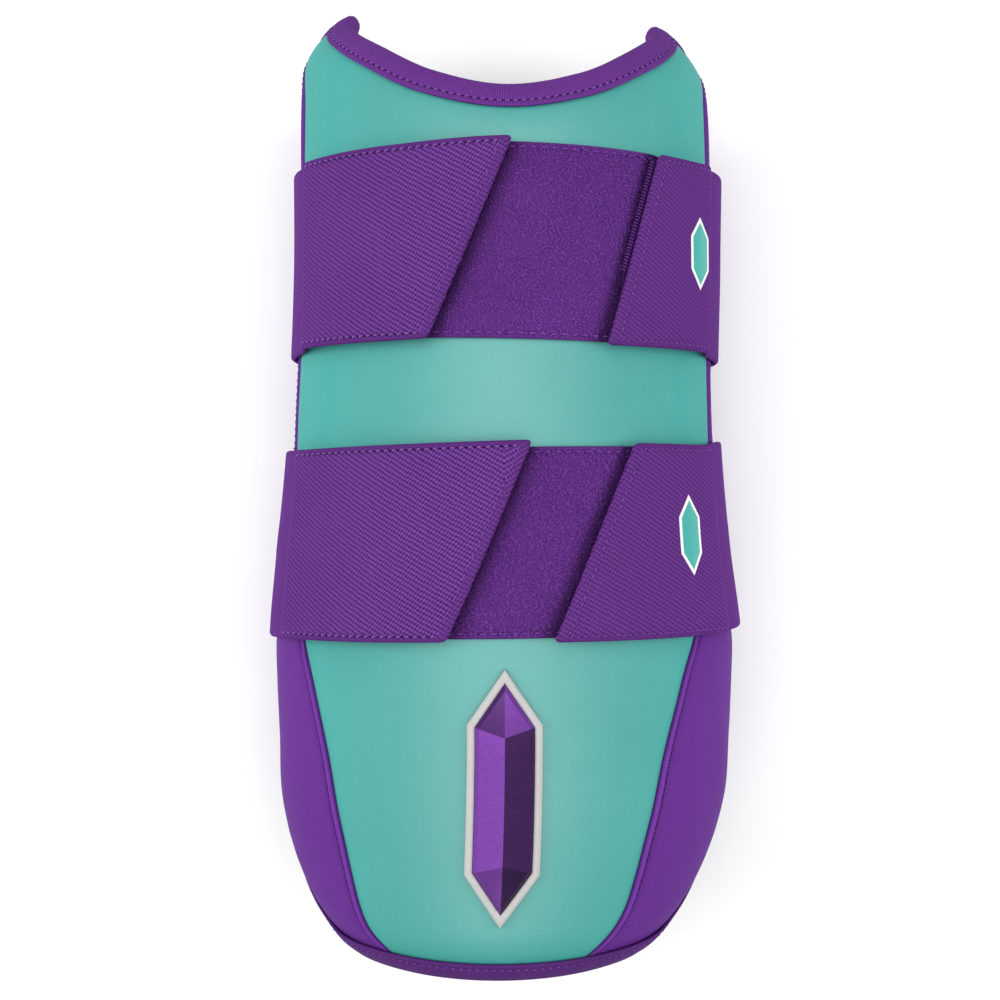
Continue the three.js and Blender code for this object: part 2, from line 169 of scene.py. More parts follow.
SEAM_STEPS = np.array([0, 0.1, 0.25, 0.45, 0.7, 1, 1.3, 1.55, 1.8, 2.05, 2.3, 2.6, 3, 3.6, 4.6, 6])

# Folded tape over the edge
TAPE_WIDTH = 6.0
TAPE_CLEAR = 0.6  # room that a seam's topstitching leaves beside it
TAPE_FACE = 0.45  # share of its section's depth that belongs to its face
TAPE = 0.9
TAPE_GAP = 0.45
TAPE_LIP = 0.45  # rounding of its long edges
TAPE_STITCH = 4.3  # distance of its stitching from the wall's edge
TAPE_GROOVE = 0.3  # depth that the stitching pulls it in
TAPE_GROOVE_WIDTH = 0.4
TAPE_THREAD = 0.28  # depth of the thread's line in that groove
TAPE_BELLY = 0.22  # how far its face swells between the fold and the stitching
TAPE_FLATTER = 0.5  # how much flatter it lies down the sides than along the front
TAPE_SIDE = 0.44  # place where that starts
TAPE_SIDE_FADE = 0.1
# Distances in from the edge at which its section is drawn, on the face and on the back
TAPE_LEG = np.array([6, 5.97, 5.85, 5.6, 5.2, 4.9, 4.6, 4.3, 4.0, 3.7, 3.3, 2.6, 1.9, 1.2, 0.6])
TAPE_HEM = np.array([1.2, 2.6, 3.7, 4.3, 4.9, 5.6, 5.85, 6])
TAPE_KNEE = 1.5  # distance in from the edge where its inside turns to follow the wall
UNDER_TAPE = 4.0  # span beside the tape over which a seam's relief fades
RIM_STITCH_FOOT = 105.0  # height down to which the rim's stitching is of the paler thread
CUP_SHADE_TOP = -70.0  # height below which the tape's colour is darkened towards the cup, painted shade
CUP_SHADE_FADE = 45.0

# Straps: thickness and lift of each layer above the leather
STRAP_WIDTH = 50.0
WEBBING = 1.6
PILE = 1.8
HOOK = 1.0
GAP = 0.3
PILE_LIFT = GAP
HOOK_LIFT = PILE_LIFT + PILE + GAP
OVERLAP_LIFT = HOOK_LIFT + HOOK + GAP
STRAP_LIFT = 0.4
BACK_LEVEL = STRAP_LIFT + WEBBING
BACKING = 1.2  # thickness of a loop band without its pile
BAND_STITCH_SUNK = 0.2  # depth of its stitching
BAND_STITCH_CLEAR = 0.02  # places at both its ends that are left without
HOOK_TAPE = 0.6  # thickness of the hook tape without its hooks

# Places along a strap, from 0 at the crown
PILE_END = 0.45  # end of a loop band
RAMP = 0.07  # span over which the webbing climbs onto the band
BEND_PLACE = 1.0  # start of the bend onto the back
FLAT_PLACE = 1.08  # end of that bend
MEET_PLACE = 1.5  # middle of the back
STRAP_BEND = 6.0  # radius of the bend
HOOK_END = 0.43  # place where the hook tape under a strap end stops
HEM = 1.5  # distance of the straps' stitching from their edges
CUT_HEM = 2.2  # and from their cuts
HEM_GROOVE = 0.3  # depth that stitches pull a strap in
HEM_GROOVE_WIDTH = 0.5
HEM_FADE = 0.4  # span over which the close weave of a hem ends
CUT_FOLD = 0.3  # how much thicker the hem at a cut is
SEWN_END = 0.46  # place where the stitching along a strap's edges stops
SEWN_FADE = 0.05
BAND_END_DENT = 0.6  # share of that groove where a strap comes off its loop band
SIDE_CLOSE = 0.45  # how close the weave looks where a strap turns down the side
SIDE_CLOSE_FROM = 0.12
SIDE_CLOSE_FADE = 0.4
BAND_HEM = 1.4  # distance of a loop band's stitching from its edges
WEBBING_EDGE = 0.8  # rounding of the webbing's edges
BAND_EDGE = 0.7  # and of a loop band's
SIDE_SPREAD = 0.03  # share by which the straps lie wider on the guard's sides
SPREAD_FROM = 0.42  # place where they start to spread
SPREAD_FADE = 0.2
SPREAD_END = 0.15  # span before the bend over which that ends
RISE_REACH = 0.22  # place where an end starts to rise
HITCH_FROM = 0.4  # place where a strap starts to climb on the guard's side
HITCH_SPAN = 0.25
DROP_FADE = 0.4  # span of places down the sides over which a drop fades out
TIP = 1.2  # rounding of the corners of the cuts
BAND_NARROWING = 3.4  # how much narrower a loop band is under the strap ends
BAND_NARROW_LEFT = 0.17  # places where it starts to narrow
BAND_NARROW_RIGHT = 0.3
UNDER_FADE = 0.12  # span of places over which a band takes on the line of the end above it

# Each strap has a height, a loop band and two ends. The band and the ends drop below the strap's height and
# lean off it (up on the right, down on the left). An end may rise towards its cut, hitches up on the guard's
# side, and stands slack off it by its lower edge, its middle and its upper edge. Its slanted cut runs from a
# foot to a top, measured across, and its hook tape shows past the upper part of the cut or lies behind it.
# Webbing under tension looks closer woven.
HOOK_BEHIND = 0.4  # how far the hook tape lies behind a cut where it does not show
STRAPS = {
    "upper": dict(
        y=63.2,
        band=dict(width=50, drop=0, lean=-1.2),
        left=dict(
            sign=-1,
            drop=0.3,
            lean=0.5,
            rise=0.8,
            hitch=0,
            slack=(0, 0, 0),
            foot=-18.2,
            top=1.6,
            shows=-HOOK_BEHIND,
            close=0,
        ),
        right=dict(
            sign=1,
            drop=1.7,
            lean=0,
            rise=0,
            hitch=0,
            slack=(0, 0.8, 1.2),
            foot=24,
            top=37,
            shows=1.2,
            close=0.6,
        ),
    ),
    "lower": dict(
        y=-12.8,
        band=dict(width=48.2, drop=0.5, lean=0.9),
        left=dict(
            sign=-1,
            drop=-0.1,
            lean=2,
            rise=0,
            hitch=0,
            slack=(0, 1.2, 0.2),
            foot=-13.2,
            top=6.8,
            shows=-HOOK_BEHIND,
            close=0,
        ),
        right=dict(
            sign=1,
            drop=0.3,
            lean=0,
            rise=0,
            hitch=1.1,
            slack=(0.7, 0.9, 0.2),
            foot=11,
            top=32,
            shows=-HOOK_BEHIND,
            close=0.5,
        ),
    ),
}

# Badge on the front panel
BADGE_Y = -78.0
BADGE_HEIGHT = 33.0
BADGE_WIDTH = 9.5
BADGE_SHOULDER = 19.0
BADGE_BORDER = 2.0
BADGE_RISE = 1.5  # height of the border
PLATE_GAP = 0.1  # between the border and the plate
PLATE_SIDE = 0.9  # height of the plate's edge
PLATE_BEVEL = 0.9  # width of its bevel
PLATE_BEVEL_TOP = 1.6
PLATE_RIDGE = 3.4


def smooth(t):
    t = np.clip(t, 0, 1)
    return t * t * (3 - 2 * t)


def read(rows, key, column, at):
    """Value of a table's column where its key column reaches `at`: a smooth curve through the rows."""
    x = rows[key]
    v = rows[column]
    last = len(x) - 1
    steps = np.arange(last + 1)
    before = np.maximum(steps - 1, 0)
    after = np.minimum(steps + 1, last)
    slope = (v[after] - v[before]) / (x[after] - x[before])
    at = np.asarray(at, float)
    i = np.clip(np.searchsorted(x, at, "right"), 1, last)
    step = x[i] - x[i - 1]
    t = (np.clip(at, x[0], x[last]) - x[i - 1]) / step
    low_weight = (1 + 2 * t) * (1 - t) ** 2
    bend = slope[i - 1] * t * (1 - t) ** 2 - slope[i] * t**2 * (1 - t)
    inside = low_weight * v[i - 1] + (1 - low_weight) * v[i] + bend * step
    return inside + slope[0] * np.minimum(at - x[0], 0) + slope[last] * np.maximum(at - x[last], 0)


def half_width_at(y):
    return read(SECTIONS, "y", "half_width", y)


def arch(turn, y):
    """Quarter ellipse of the section at a height, from the crown (turn 0) to the widest line (turn 1)."""
    angle = turn * math.pi / 2
    x = half_width_at(y) * np.sin(angle)
    z = SIDE_LINE + (read(SECTIONS, "y", "crown", y) - SIDE_LINE) * np.cos(angle)
    return x, z


def place_across(x, y):
    """Place on the arch that lies a given measure across from the crown."""
    return np.arcsin(x / half_width_at(y)) / (math.pi / 2) * ARC_SHARE


def on_side(place, x, y, z):
    """Point on the left or right half of the form."""
    x = x * np.sign(place) + read(SECTIONS, "y", "middle", y)
    return np.stack(np.broadcast_arrays(x, y, z), -1)


def guard_form(place, y):
    """Point of the guard's outer face at full thickness."""
    reach = np.abs(place)
    x, z = arch(np.minimum(reach / ARC_SHARE, 1), y)
    down = np.maximum(reach - ARC_SHARE, 0) / (1 - ARC_SHARE)
    z = np.where(down > 0, SIDE_LINE + (BACK - SIDE_LINE) * down, z)
    return on_side(place, x - TUCK * down**2, y, z)


def strap_form(place, y):
    """Line that the straps follow: the arch of the guard, down its side, and flat across its back."""
    reach = np.abs(place)
    x, z = arch(np.minimum(reach / ARC_SHARE, 1), y)
    bend_top = BACK_LEVEL + STRAP_BEND
    down = np.clip((reach - ARC_SHARE) / (BEND_PLACE - ARC_SHARE), 0, 1)
    angle = np.clip((reach - BEND_PLACE) / (FLAT_PLACE - BEND_PLACE), 0, 1) * math.pi / 2
    along = np.maximum(reach - FLAT_PLACE, 0) / (MEET_PLACE - FLAT_PLACE)
    z = np.where(down > 0, SIDE_LINE + (bend_top - SIDE_LINE) * down, z)
    z = z - STRAP_BEND * np.sin(angle)
    x = x - STRAP_BEND * (1 - np.cos(angle))
    return on_side(place, x * (1 - along), y, z)


def lift_off(form, place, y, lift):
    """Point a given lift above a form, along its outward normal."""
    near_place = 0.004
    near_y = 0.5
    place, y, lift = np.broadcast_arrays(*(np.asarray(value, float) for value in (place, y, lift)))
    across = form(place + near_place, y) - form(place - near_place, y)
    along = form(place, y + near_y) - form(place, y - near_y)
    normal = np.cross(across, along)
    normal /= np.linalg.norm(normal, axis=-1, keepdims=True)
    return form(place, y) + normal * lift[..., None]


def corner_drop(place):
    """How far a back corner's rounding pulls the outline in."""
    into = np.maximum(0, np.abs(place) * HALF_SPAN - (HALF_SPAN - CORNER))
    return CORNER - np.sqrt(np.maximum(0, CORNER**2 - into**2))


def rim_at(place):
    return read(OUTLINE, "place", "rim", np.abs(place)) + RIM_TILT * place - corner_drop(place)


def cup_at(place):
    return read(OUTLINE, "place", "cup", np.abs(place)) + corner_drop(place)


def height_at(place, share):
    return cup_at(place) * (1 - share) + rim_at(place) * share


def seam_at(side, share):
    """Place of a seam a given share of the way from cup to rim."""
    sign = -1 if side == "left" else 1
    place = sign * 0.5 + 0 * share
    for _ in range(12):
        place = sign * read(SEAM, "y", side, height_at(place, share))
    return place


def spaced_evenly(points, count):
    """Points at equal steps along a closed line."""
    points = np.concatenate([points, points[:1]])
    step = np.linalg.norm(np.diff(points, axis=0), axis=1)
    run = np.concatenate([[0], np.cumsum(step)])
    at = np.linspace(0, run[-1], count, endpoint=False)
    return np.stack([np.interp(at, run, column) for column in points.T], -1), run[-1]


def outline(count):
    """Outline of the laid-out wall, as measure round the form and height, from the left rim corner."""
    across = np.sin(np.linspace(-1, 1, 600) * math.pi / 2)
    down = np.linspace(0, 1, 200)[1:-1]
    one = np.ones_like(down)
    rim = np.stack([across * HALF_SPAN, rim_at(across)], -1)
    cup = np.stack([across * HALF_SPAN, cup_at(across)], -1)[::-1]
    right = np.stack([one * HALF_SPAN, height_at(one, 1 - down)], -1)
    left = np.stack([-one * HALF_SPAN, height_at(-one, down)], -1)
    return spaced_evenly(np.concatenate([rim, right, cup, left]), count)


COARSE_OUTLINE = outline(320)[0]


def edge_distance(place, y):
    """Distance from a place on the laid-out wall to its outline."""
    points = np.stack([place * HALF_SPAN, y], -1).reshape(-1, 1, 2)
    way = np.roll(COARSE_OUTLINE, -1, 0) - COARSE_OUTLINE
    along = ((points - COARSE_OUTLINE) * way).sum(-1) / (way * way).sum(-1)
    nearest = COARSE_OUTLINE + np.clip(along, 0, 1)[..., None] * way
    return np.linalg.norm(points - nearest, axis=-1).min(1).reshape(np.shape(place))


def thinning(distance):
    """How much thinner the wall is at a distance from its edge."""
    return (WALL - EDGE) * (1 - np.clip(distance / TAPER, 0, 1)) ** 2


def horn_share(place, y):
    """1 at the two horns of the rim, fading to 0 round them."""
    near = np.exp(-(((np.abs(place) - HORN_PLACE) / HORN_REACH) ** 2))
    return smooth((y - HORN_FOOT) / HORN_FADE) * near


def horn_thinning(place, y):
    """How much thinner the wall is at the horns, taken off its inside."""
    return HORN_THINNING * horn_share(place, y)


def strap_cover(place, y):
    """1 where a strap or loop band presses on the leather, fading to 0 just beside it."""
    margin = 1.0
    fade = 3.0
    across = guard_form(place, y)[..., 0] / half_width_at(y)
    cover = 0
    for strap in STRAPS.values():
        end_lean = np.where(across < 0, strap["left"]["lean"], strap["right"]["lean"])
        end_drop = np.where(across < 0, strap["left"]["drop"], strap["right"]["drop"])
        away = np.abs(y - strap["y"] + end_drop - end_lean * across) - STRAP_WIDTH / 2
        cover = np.maximum(cover, smooth(1 - (away - margin) / fade))
    return cover


# Making of meshes


def deselect():
    bpy.ops.object.select_all(action="DESELECT")


def edit(piece, *operators):
    """Runs edit-mode operators, each a function, on a whole piece."""
    deselect()
    piece.select_set(True)
    bpy.context.view_layer.objects.active = piece
    bpy.ops.object.mode_set(mode="EDIT")
    bpy.ops.mesh.select_all(action="SELECT")
    for operator in operators:
        operator()
    bpy.ops.object.mode_set(mode="OBJECT")


MERGE_WITHIN = 0.000001


def close_seams():
    bpy.ops.mesh.remove_doubles(threshold=MERGE_WITHIN)


def face_outwards():
    bpy.ops.mesh.normals_make_consistent(inside=False)


def into_frame(points):
    return (points - MIDDLE) * MM


def set_marks(mesh, marks, where="POINT"):
    """Values at a mesh's points or faces that its material reads, by name."""
    for label, values in (marks or {}).items():
        mesh.attributes.new(label, "FLOAT", where).data.foreach_set("value", np.float32(values).ravel())


def laid_grid(name, points, uv=None, held=None, marks=None, face_marks=None, inner_columns=()):
    """Grid whose rows and columns lie on the given points, closed where its edges meet."""
    rows, columns = points.shape[:2]
    deselect()
    bpy.ops.mesh.primitive_grid_add(x_subdivisions=columns - 1, y_subdivisions=rows - 1, size=1)
    piece = bpy.context.object
    piece.name = piece.data.name = name
    mesh = piece.data
    mesh.vertices.foreach_set("co", into_frame(points).astype(np.float32).ravel())
    if uv is not None:
        corner = np.empty(len(mesh.loops), np.int32)
        mesh.loops.foreach_get("vertex_index", corner)
        mesh.uv_layers[0].data.foreach_set("uv", uv.reshape(-1, 2)[corner].astype(np.float32).ravel())
    if held is not None:
        group = piece.vertex_groups.new(name="sewn")
        group.add(np.flatnonzero(held).tolist(), 1.0, "REPLACE")
    set_marks(mesh, marks)
    set_marks(mesh, face_marks, "FACE")
    slots = np.zeros((rows - 1, columns - 1), np.int32)
    slots[:, list(inner_columns)] = 1
    mesh.polygons.foreach_set("material_index", slots.ravel())
    edit(piece, close_seams, face_outwards)
    bpy.ops.object.shade_smooth()
    return piece


def sealed(outer, inner):
    """Closed tube of points from a grid on an outer face and the same grid on an inner face."""
    middle = (outer + inner) / 2

    def loop(front, back):
        return np.concatenate([front, back[:, ::-1], front[:, :1]], 1)

    ends = loop(middle, middle)
    return np.concatenate([ends[:1], loop(outer, inner), ends[-1:]])


def tube_faces(sections, sides):
    """Faces of a closed tube with its corners listed section by section."""
    faces = []
    for s in range(sections - 1):
        for k in range(sides):
            after = (k + 1) % sides
            low = s * sides
            faces.append((low + k, low + after, low + sides + after, low + sides + k))
    end = (sections - 1) * sides
    return faces + [tuple(range(sides))[::-1], tuple(range(end, end + sides))]


def joined_tubes(name, centres, radius, side, up, sides, marks=None):
    """Many small tubes in one mesh. Centres are by tube and section, and side and up span their sections."""
    count, sections = centres.shape[:2]
    turn = np.arange(sides) * 2 * math.pi / sides
    ring = side[:, :, None] * np.cos(turn)[:, None] + up[:, :, None] * np.sin(turn)[:, None]
    corners = centres[:, :, None] + ring * np.broadcast_to(radius, (count, sections))[..., None, None]
    faces = tube_faces(sections, sides)
    step = sections * sides
    every = [[corner + step * i for corner in face] for i in range(count) for face in faces]
    mesh = bpy.data.meshes.new(name)
    mesh.from_pydata(into_frame(corners.reshape(-1, 3)).tolist(), [], every)
    set_marks(mesh, {label: np.repeat(values, step) for label, values in (marks or {}).items()})
    piece = bpy.data.objects.new(name, mesh)
    scene.collection.objects.link(piece)
    edit(piece, face_outwards)
    bpy.ops.object.shade_smooth()
    return piece


def unit(vectors):
    return vectors / np.linalg.norm(vectors, axis=-1, keepdims=True)


STITCH_SECTIONS = np.linspace(-0.5, 0.5, 6)
STITCH_CROWN = 1.1  # height of a stitch's middle, in thicknesses
STITCH_DIP = 9.2  # how steeply its ends dip in
STITCH_TAPER = 1.6  # how much thinner its ends are
STITCH_SIDES = 6

# Rows of stitches: pitch, length and thickness, slant off the row in radians, and how deep they are sunk
STITCHES = {
    "seam": dict(pitch=1.9, length=1.2, thick=0.32),
    "upper_seam": dict(pitch=1.9, length=1.2, thick=0.26, sink=0.2),
    "tape_face": dict(pitch=2.1, length=1.2, thick=0.34, slant=0.25),
    "tape_back": dict(pitch=2.1, length=1.5, thick=0.3),
    "left_edge": dict(pitch=2.2, length=1.4, thick=0.46, slant=0.4),
    "right_edge": dict(pitch=1.7, length=1.1, thick=0.42, slant=0.4),
    "cut": dict(pitch=1.9, length=1.3, thick=0.46, slant=0.5),
    "loop_band": dict(pitch=2.7, length=1.9, thick=0.34),
    "overcast": dict(pitch=0.85, length=1.4, thick=0.34, slant=1.25),
}
HOLE = dict(length=0.95, thick=0.45, start=1.0, sink=0.3)
CUT_HOLE = dict(length=0.6, thick=0.4, start=1.0, sink=0.3)


def stitch_row(line, pitch, length, thick, slant=0.0, start=0.5, sink=0.0):
    """Stitches along a line of points with normals: each is a short thread that dips in at both ends."""
    points, normals = line
    step = np.linalg.norm(np.diff(points, axis=0), axis=1)
    run = np.concatenate([[0], np.cumsum(step)])
    count = max(int(run[-1] / pitch), 1)
    at = (np.arange(count) + start) * run[-1] / count

    def sample(values, where):
        return np.stack([np.interp(where, run, column) for column in values.T], -1)

    middle = sample(points, at)
    up = unit(sample(normals, at))
    near = 0.3
    ahead = unit(sample(points, at + near) - sample(points, at - near))
    side = np.cross(up, ahead)
    ahead = ahead * math.cos(slant) + side * math.sin(slant)
    side = unit(np.cross(up, ahead))
    rise = thick * (STITCH_CROWN - STITCH_DIP * STITCH_SECTIONS**2) - sink
    run_out = ahead[:, None] * (STITCH_SECTIONS * length)[:, None]
    centres = middle[:, None] + run_out + up[:, None] * rise[:, None]
    radius = thick / 2 * (1 - STITCH_TAPER * STITCH_SECTIONS**2)
    shape = centres.shape
    return (
        centres,
        np.broadcast_to(radius, shape[:2]),
        np.broadcast_to(side[:, None], shape),
        np.broadcast_to(up[:, None], shape),
    )


def stitch_rows(kind, lines):
    """Stitches of one kind along each of several lines."""
    return [stitch_row(line, **STITCHES[kind]) for line in lines]


def needle_holes(kind, lines, size):
    """Small dents between the stitches of such rows, coloured near black: painted shade of the needle holes.
    """
    return [stitch_row(line, STITCHES[kind]["pitch"], **size) for line in lines]


def stitching(name, *rows):
    """One piece of thread from several rows of stitches."""
    centres, radius, side, up = (np.concatenate(parts) for parts in zip(*rows))
    return joined_tubes(name, centres, radius, side, up, STITCH_SIDES)


def surface_line(form, place, y, lift):
    """Points along a line on a form, with the normals there."""
    points = lift_off(form, place, y, lift)
    above = lift_off(form, place, y, lift + 1.0)
    return points, above - points


# Padded panels

ROWS = 150
FRONT_COLUMNS = 18
SIDE_COLUMNS = 26
CROWDING = 0.6  # how far the rows crowd towards the cup and the rim
even_shares = np.linspace(0, 1, ROWS)
row_shares = (1 - np.cos(even_shares * math.pi)) / 2 * CROWDING + even_shares * (1 - CROWDING)
SEWN_EDGE = 7.0  # the leather is held flat this far in from the outline
SEWN_SEAM = 4.0  # and this far from a seam
SWELL = 1.1  # most that the stuffing lifts the leather
SEAM_SHIFT = SEAM_GAP / 2 / HALF_SPAN


def panel_places(start, toward, end, columns):
    """Places across a panel, by row: close together beside the seam, then even up to its other end."""
    near = start[:, None] + toward * SEAM_STEPS / HALF_SPAN
    share = np.linspace(0, 1, columns + 1)[1:]
    return np.concatenate([near, near[:, -1:] + (end[:, None] - near[:, -1:]) * share], 1)


def pad(name, places, sewn_relief):
    """Closed padded panel: leather outside with its sewn relief, lining inside."""
    y = height_at(places, row_shares[:, None])
    edge = edge_distance(places, y)
    relief, sewn, fold = sewn_relief(edge, 1 - strap_cover(places, y))
    outer = lift_off(guard_form, places, y, relief - thinning(edge))
    inner = lift_off(guard_form, places, y, horn_thinning(places, y) - WALL)
    held = sealed((sewn | (edge < SEWN_EDGE))[..., None], np.ones_like(sewn)[..., None])
    # The fold mark carries painted light: a painted highlight on the welts' crests and painted shade in the
    # seam dips and along the topstitching.
    marks = {"fold": sealed(fold[..., None], 0 * fold[..., None])}
    count = places.shape[1]
    lining = range(count, 2 * count - 1)
    return laid_grid(name, sealed(outer, inner), held=held > 0.9, marks=marks, inner_columns=lining)


def stuff(piece):
    """Presses the stuffing out against the leather with a cloth simulation, within the swell it may have."""
    mesh = piece.data
    start = np.empty(len(mesh.vertices) * 3, np.float32)
    mesh.vertices.foreach_get("co", start)
    start = start.reshape(-1, 3)
    cloth = piece.modifiers.new("stuffing", "CLOTH")
    cloth.settings.quality = 4
    cloth.settings.mass = 0.4
    cloth.settings.tension_stiffness = 40
    cloth.settings.compression_stiffness = 40
    cloth.settings.shear_stiffness = 20
    cloth.settings.bending_stiffness = 2
    cloth.settings.use_pressure = True
    cloth.settings.uniform_pressure_force = 4
    cloth.settings.effector_weights.gravity = 0
    cloth.settings.vertex_group_mass = "sewn"
    cloth.collision_settings.use_collision = False
    frames = 20
    cloth.point_cache.frame_end = frames
    for number in range(1, frames + 1):
        scene.frame_set(number)
    deselect()
    piece.select_set(True)
    bpy.context.view_layer.objects.active = piece
    bpy.ops.object.modifier_apply(modifier="stuffing")
    scene.frame_set(1)
    moved = np.empty(len(mesh.vertices) * 3, np.float32)
    mesh.vertices.foreach_get("co", moved)
    moved = moved.reshape(-1, 3) - start
    across, y = (start / MM + MIDDLE)[:, :2].T
    half_width = half_width_at(y)
    place = place_across(np.clip(across / half_width, -1, 1) * half_width, y)
    cap = SWELL * MM * (1 - strap_cover(place, y))
    length = np.linalg.norm(moved, axis=1)
    moved *= np.minimum(1, cap / np.maximum(length, 1e-9))[:, None]
    mesh.vertices.foreach_set("co", (start + moved).astype(np.float32).ravel())
    mesh.update()


def welt_share(y):
    """The folded edge stands full along the lower seams and sinks a little up the sides."""
    return WELT_SUNK + (1 - WELT_SUNK) * smooth((WELT_TOP - y) / WELT_FADE)


def front_pad():
    """Front panel, tucked in along its two long seams."""
    left = seam_at("left", row_shares) + SEAM_SHIFT
    right = seam_at("right", row_shares) - SEAM_SHIFT
    middle = (left + right) / 2
    half = panel_places(left, 1, middle, FRONT_COLUMNS)
    other = panel_places(right, -1, middle, FRONT_COLUMNS)[:, ::-1]
    places = np.concatenate([half, other[:, 1:]], 1)
    away = np.minimum(places - left[:, None], right[:, None] - places) * HALF_SPAN

    def sewn_relief(edge, _clear):
        dip = SEAM_TUCK * np.exp(-away / SEAM_ROLL)
        # Painted shade in the seam's dip, given back as the fold mark.
        painted_seam_shade = SEAM_SHADE * np.exp(-away / SEAM_SHADE_ROLL)
        return -dip * smooth((edge - 3) / UNDER_TAPE), away < SEWN_SEAM, -painted_seam_shade

    return pad("front_pad", places, sewn_relief)


def side_pad(side):
    """Side panel, with its folded and topstitched edge along the seam to the front panel."""
    sign = -1 if side == "left" else 1
    seam = seam_at(side, row_shares) + sign * SEAM_SHIFT
    places = panel_places(seam, sign, sign + 0 * seam, SIDE_COLUMNS)
    if sign < 0:
        places = places[:, ::-1]
    away = np.abs(places - seam[:, None]) * HALF_SPAN
    y = height_at(places, row_shares[:, None])

    def sewn_relief(edge, clear):
        share = welt_share(y)
        welt = read(WELT, "away", "lift", np.minimum(away, WELT_REACH)) * share
        lift = np.where(welt > 0, welt * clear, welt) * smooth((edge - 4) / UNDER_TAPE)
        # Painted highlight on the welt's crest and painted shade along the topstitching groove, given back
        # as the fold mark.
        crest_highlight = np.exp(-(((away - WELT_CREST) / WELT_CREST_WIDTH) ** 2)) * share
        crease = WELT_GROOVE_SHADE * np.exp(-(((away - WELT_STITCH) / WELT_GROOVE_SHADE_WIDTH) ** 2))
        return lift, away < SEWN_SEAM, crest_highlight - crease

    return pad(side + "_side_pad", places, sewn_relief)


def seam_line(side, low, high):
    """Line of the topstitching beside a seam between two heights, clear of the binding."""
    sign = -1 if side == "left" else 1
    share = np.linspace(0.02, 0.98, 400)
    place = seam_at(side, share) + sign * (SEAM_SHIFT + WELT_STITCH / HALF_SPAN)
    y = height_at(place, share)
    edge = edge_distance(place, y)
    keep = (edge > TAPE_WIDTH + TAPE_CLEAR) & (y >= low) & (y <= high)
    relief = read(WELT, "away", "lift", WELT_STITCH) * welt_share(y) * smooth((edge - 4) / UNDER_TAPE)
    lift = relief - thinning(edge)
    return surface_line(guard_form, place[keep], y[keep], lift[keep])


# Binding

TAPE_STATIONS = 520


def tape_section():
    """Section of the folded tape, as distance in from the wall's edge and lift above the form."""
    far = TAPE_GAP + TAPE
    top = -thinning(0.0)
    lip = np.clip((TAPE_LEG - TAPE_WIDTH + TAPE_LIP) / TAPE_LIP, 0, 1)
    face = far - TAPE_LIP * (1 - np.sqrt(1 - lip**2))
    face -= TAPE_GROOVE * np.exp(-(((TAPE_LEG - TAPE_STITCH) / TAPE_GROOVE_WIDTH) ** 2))
    face += TAPE_BELLY * np.sin(np.clip(TAPE_LEG / TAPE_STITCH, 0, 1) * math.pi)
    outer = np.stack([TAPE_LEG, -thinning(TAPE_LEG) + face], -1)
    turn = np.linspace(math.pi / 2, -math.pi / 2, 11)
    half = (top + WALL) / 2 + far
    fold = np.stack([-far * np.cos(turn), (top - WALL) / 2 + half * np.sin(turn)], -1)
    hem = np.clip((TAPE_HEM - TAPE_WIDTH + TAPE_LIP) / TAPE_LIP, 0, 1)
    inner = np.stack([TAPE_HEM, -WALL - far + TAPE_LIP * (1 - np.sqrt(1 - hem**2))], -1)
    under = [
        (TAPE_WIDTH, -WALL - TAPE_GAP),
        (TAPE_KNEE, -WALL - TAPE_GAP),
        (-TAPE_GAP, -WALL - TAPE_GAP),
        (-TAPE_GAP, top + TAPE_GAP),
        (TAPE_KNEE, -thinning(TAPE_KNEE) + TAPE_GAP),
        (TAPE_WIDTH / 2, -thinning(TAPE_WIDTH / 2) + TAPE_GAP),
        (TAPE_WIDTH, -thinning(TAPE_WIDTH) + TAPE_GAP),
    ]
    return np.concatenate([outer, fold, inner, np.array(under)])


def inward_of(stations):
    """Direction into the wall at each station of its outline."""
    ahead = unit(unit(np.roll(stations, -1, 0) - stations) + unit(stations - np.roll(stations, 1, 0)))
    return np.stack([ahead[:, 1], -ahead[:, 0]], -1)


def tape_drop(place):
    """How much flatter the tape lies on the leather down the sides than along the front."""
    return TAPE_FLATTER * smooth((np.abs(place) - TAPE_SIDE) / TAPE_SIDE_FADE)


def tape_narrowing(place, y):
    """Share of its width that the tape keeps, less at the horns."""
    return 1 - HORN_TAPE_SHARE * horn_share(place, y)


def binding_tape():
    """Tape folded over the whole edge of the wall, narrower and thinner at the horns."""
    stations, length = outline(TAPE_STATIONS)
    place = stations[:, :1] / HALF_SPAN
    y = stations[:, 1:]
    section = tape_section()
    inward, lift = section.T
    behind = np.clip((lift[0] - lift) / (lift[0] - lift.min()), 0, 1)
    on_face = behind < TAPE_FACE
    kept = np.where(inward > 0, tape_narrowing(place, y), 1)
    lift = lift + horn_thinning(place, y) * behind - tape_drop(place) * on_face
    lift = lift + (thinning(inward) - thinning(inward * kept)) * on_face
    spots = stations[:, None] + inward_of(stations)[:, None] * (inward * kept)[..., None]
    points = lift_off(guard_form, spots[..., 0] / HALF_SPAN, spots[..., 1], lift)
    points = np.concatenate([points, points[:1]])
    points = np.concatenate([points, points[:, :1]], 1)
    along = np.linspace(0, length, TAPE_STATIONS + 1)
    closed = np.concatenate([section, section[:1]])
    across = np.concatenate([[0], np.cumsum(np.linalg.norm(np.diff(closed, axis=0), axis=1))])
    uv = np.stack(np.meshgrid(along, across, indexing="ij"), -1)
    # Painted shade: the tape's colour darkens towards the cup.
    shaded = smooth((CUP_SHADE_TOP - y) / CUP_SHADE_FADE)
    shaded = np.broadcast_to(shaded, (TAPE_STATIONS, len(closed)))
    marks = {"shaded": np.concatenate([shaded, shaded[:1]])}
    return laid_grid("binding_tape", points, uv=uv, marks=marks)


